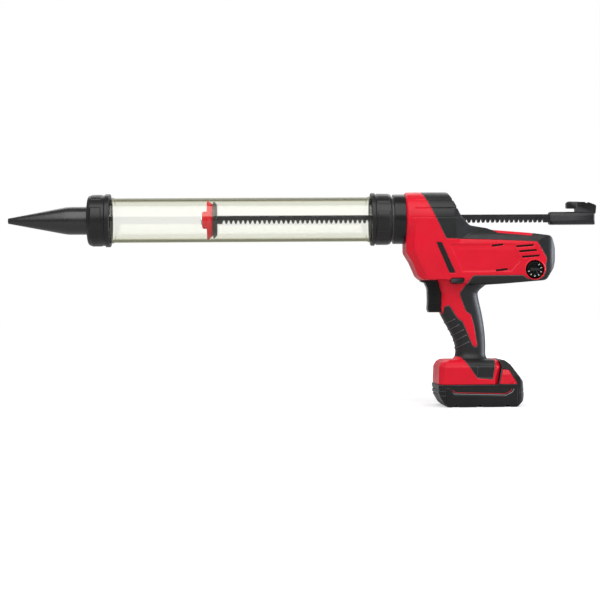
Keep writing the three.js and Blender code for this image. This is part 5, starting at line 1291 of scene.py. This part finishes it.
def make_camera():
    """A long lens from the gun's left, level with its middle."""
    stage = bpy.context.scene.caulk_stage
    turn = stage.azimuth
    target = Vector((-0.2287, 0.0, 0.1409))
    back = Vector((math.sin(turn), -math.cos(turn), 0.0))
    camera = bpy.data.cameras.new("camera")
    camera.lens, camera.sensor_width, camera.sensor_fit = stage.lens, 36.0, "HORIZONTAL"
    camera.clip_start, camera.clip_end = 0.05, 30.0
    mount = bpy.data.objects.new("camera", camera)
    bpy.context.scene.collection.objects.link(mount)
    right = Vector((math.cos(turn), math.sin(turn), 0.0))
    up = Vector((0, 0, 1))
    roll = stage.roll
    tilted_right = right * math.cos(roll) - up * math.sin(roll)
    tilted_up = right * math.sin(roll) + up * math.cos(roll)
    basis = Matrix((tilted_right, tilted_up, back)).transposed()
    mount.matrix_world = Matrix.Translation(target + back * stage.distance) @ basis.to_4x4()
    bpy.context.scene.camera = mount
    bpy.context.scene.view_settings.view_transform = "Standard"


# ------------------------------------------------------------------ operators
class CAULK_OT_finishes(bpy.types.Operator):
    """Makes the plastics, rubber, metals and clear tube"""

    bl_idname = "caulk.finishes"
    bl_label = "Finishes"

    def execute(self, context):
        make_finishes()
        return {"FINISHED"}


class CAULK_OT_inner_parts(bpy.types.Operator):
    """Gives the drive train and the electrics their finishes"""

    bl_idname = "caulk.inner_parts"
    bl_label = "Inner parts"

    def execute(self, context):
        make_inner_parts()
        return {"FINISHED"}


class CAULK_OT_barrel_tube(bpy.types.Operator):
    """Makes the clear tube"""

    bl_idname = "caulk.barrel_tube"
    bl_label = "Barrel tube"

    def execute(self, context):
        make_barrel_tube()
        return {"FINISHED"}


class CAULK_OT_front_cap(bpy.types.Operator):
    """Makes the screw cap with its grip pads"""

    bl_idname = "caulk.front_cap"
    bl_label = "Front cap"

    def execute(self, context):
        make_front_cap()
        return {"FINISHED"}


class CAULK_OT_nozzle(bpy.types.Operator):
    """Makes the cone nozzle"""

    bl_idname = "caulk.nozzle"
    bl_label = "Nozzle"

    def execute(self, context):
        make_nozzle()
        return {"FINISHED"}


class CAULK_OT_rear_collar(bpy.types.Operator):
    """Makes the collar and the nose ring"""

    bl_idname = "caulk.rear_collar"
    bl_label = "Rear collar"

    def execute(self, context):
        make_rear_collar()
        make_nose()
        return {"FINISHED"}


class CAULK_OT_piston(bpy.types.Operator):
    """Makes the piston, its back plate and nut"""

    bl_idname = "caulk.piston"
    bl_label = "Piston"

    def execute(self, context):
        make_piston()
        return {"FINISHED"}


class CAULK_OT_rack(bpy.types.Operator):
    """Breaks the edges of the toothed bar"""

    bl_idname = "caulk.rack"
    bl_label = "Rack"

    def execute(self, context):
        make_rack()
        return {"FINISHED"}


class CAULK_OT_rod_end(bpy.types.Operator):
    """Makes the rod's end grip, hook and screw"""

    bl_idname = "caulk.rod_end"
    bl_label = "Rod end"

    def execute(self, context):
        make_end_grip()
        make_hook()
        return {"FINISHED"}


class CAULK_OT_housing(bpy.types.Operator):
    """Makes the shells, soft grips, trim strips and the black sheets of painted shade behind the vents"""

    bl_idname = "caulk.housing"
    bl_label = "Housing"

    def execute(self, context):
        make_housing()
        return {"FINISHED"}


class CAULK_OT_trigger(bpy.types.Operator):
    """Makes the trigger"""

    bl_idname = "caulk.trigger"
    bl_label = "Trigger"

    def execute(self, context):
        make_trigger()
        return {"FINISHED"}


class CAULK_OT_lock_button(bpy.types.Operator):
    """Makes the lock-off button"""

    bl_idname = "caulk.lock_button"
    bl_label = "Lock button"

    def execute(self, context):
        make_lock_button()
        return {"FINISHED"}


class CAULK_OT_dial(bpy.types.Operator):
    """Makes the dial and its marks"""

    bl_idname = "caulk.dial"
    bl_label = "Speed dial"

    def execute(self, context):
        make_dial()
        return {"FINISHED"}


class CAULK_OT_battery(bpy.types.Operator):
    """Makes the battery and its bare bands"""

    bl_idname = "caulk.battery"
    bl_label = "Battery"

    def execute(self, context):
        make_battery()
        return {"FINISHED"}


class CAULK_OT_latches(bpy.types.Operator):
    """Makes the two red latches"""

    bl_idname = "caulk.latches"
    bl_label = "Battery latches"

    def execute(self, context):
        make_latches()
        return {"FINISHED"}


class CAULK_OT_stage(bpy.types.Operator):
    """Makes the floor, the lights and the camera"""

    bl_idname = "caulk.stage"
    bl_label = "Stage"

    def execute(self, context):
        make_stage()
        make_camera()
        return {"FINISHED"}


OPERATORS = [
    CAULK_OT_finishes, CAULK_OT_inner_parts, CAULK_OT_barrel_tube, CAULK_OT_front_cap,
    CAULK_OT_nozzle, CAULK_OT_rear_collar, CAULK_OT_piston, CAULK_OT_rack, CAULK_OT_rod_end,
    CAULK_OT_housing, CAULK_OT_trigger, CAULK_OT_lock_button, CAULK_OT_dial, CAULK_OT_battery,
    CAULK_OT_latches, CAULK_OT_stage,
]


class CAULK_PT_panel(bpy.types.Panel):
    """Sizes, colours and one button for each group of pieces."""

    bl_idname = "CAULK_PT_panel"
    bl_label = "Caulking gun"
    bl_space_type = "VIEW_3D"
    bl_region_type = "UI"
    bl_category = "Caulking gun"

    def draw(self, context):
        layout = self.layout
        scene = context.scene
        for group in (scene.caulk_sizes, scene.caulk_colours, scene.caulk_stage):
            box = layout.box()
            for key in type(group).__annotations__:
                box.prop(group, key)
        for entry in OPERATORS:
            layout.operator(entry.bl_idname)


CLASSES = [CaulkGunSizes, CaulkGunColours, CaulkGunStage, *OPERATORS, CAULK_PT_panel]


def register():
    """Makes the settings, the operators and the panel known."""
    for entry in CLASSES:
        bpy.utils.register_class(entry)
    bpy.types.Scene.caulk_sizes = PointerProperty(type=CaulkGunSizes)
    bpy.types.Scene.caulk_colours = PointerProperty(type=CaulkGunColours)
    bpy.types.Scene.caulk_stage = PointerProperty(type=CaulkGunStage)


def unregister():
    """Takes them away again."""
    for key in ("caulk_sizes", "caulk_colours", "caulk_stage"):
        delattr(bpy.types.Scene, key)
    for entry in reversed(CLASSES):
        bpy.utils.unregister_class(entry)


def main():
    """Builds everything in order."""
    register()
    for entry in OPERATORS:
        getattr(bpy.ops.caulk, entry.bl_idname.split(".")[1])()


if __name__ == "__main__":
    main()
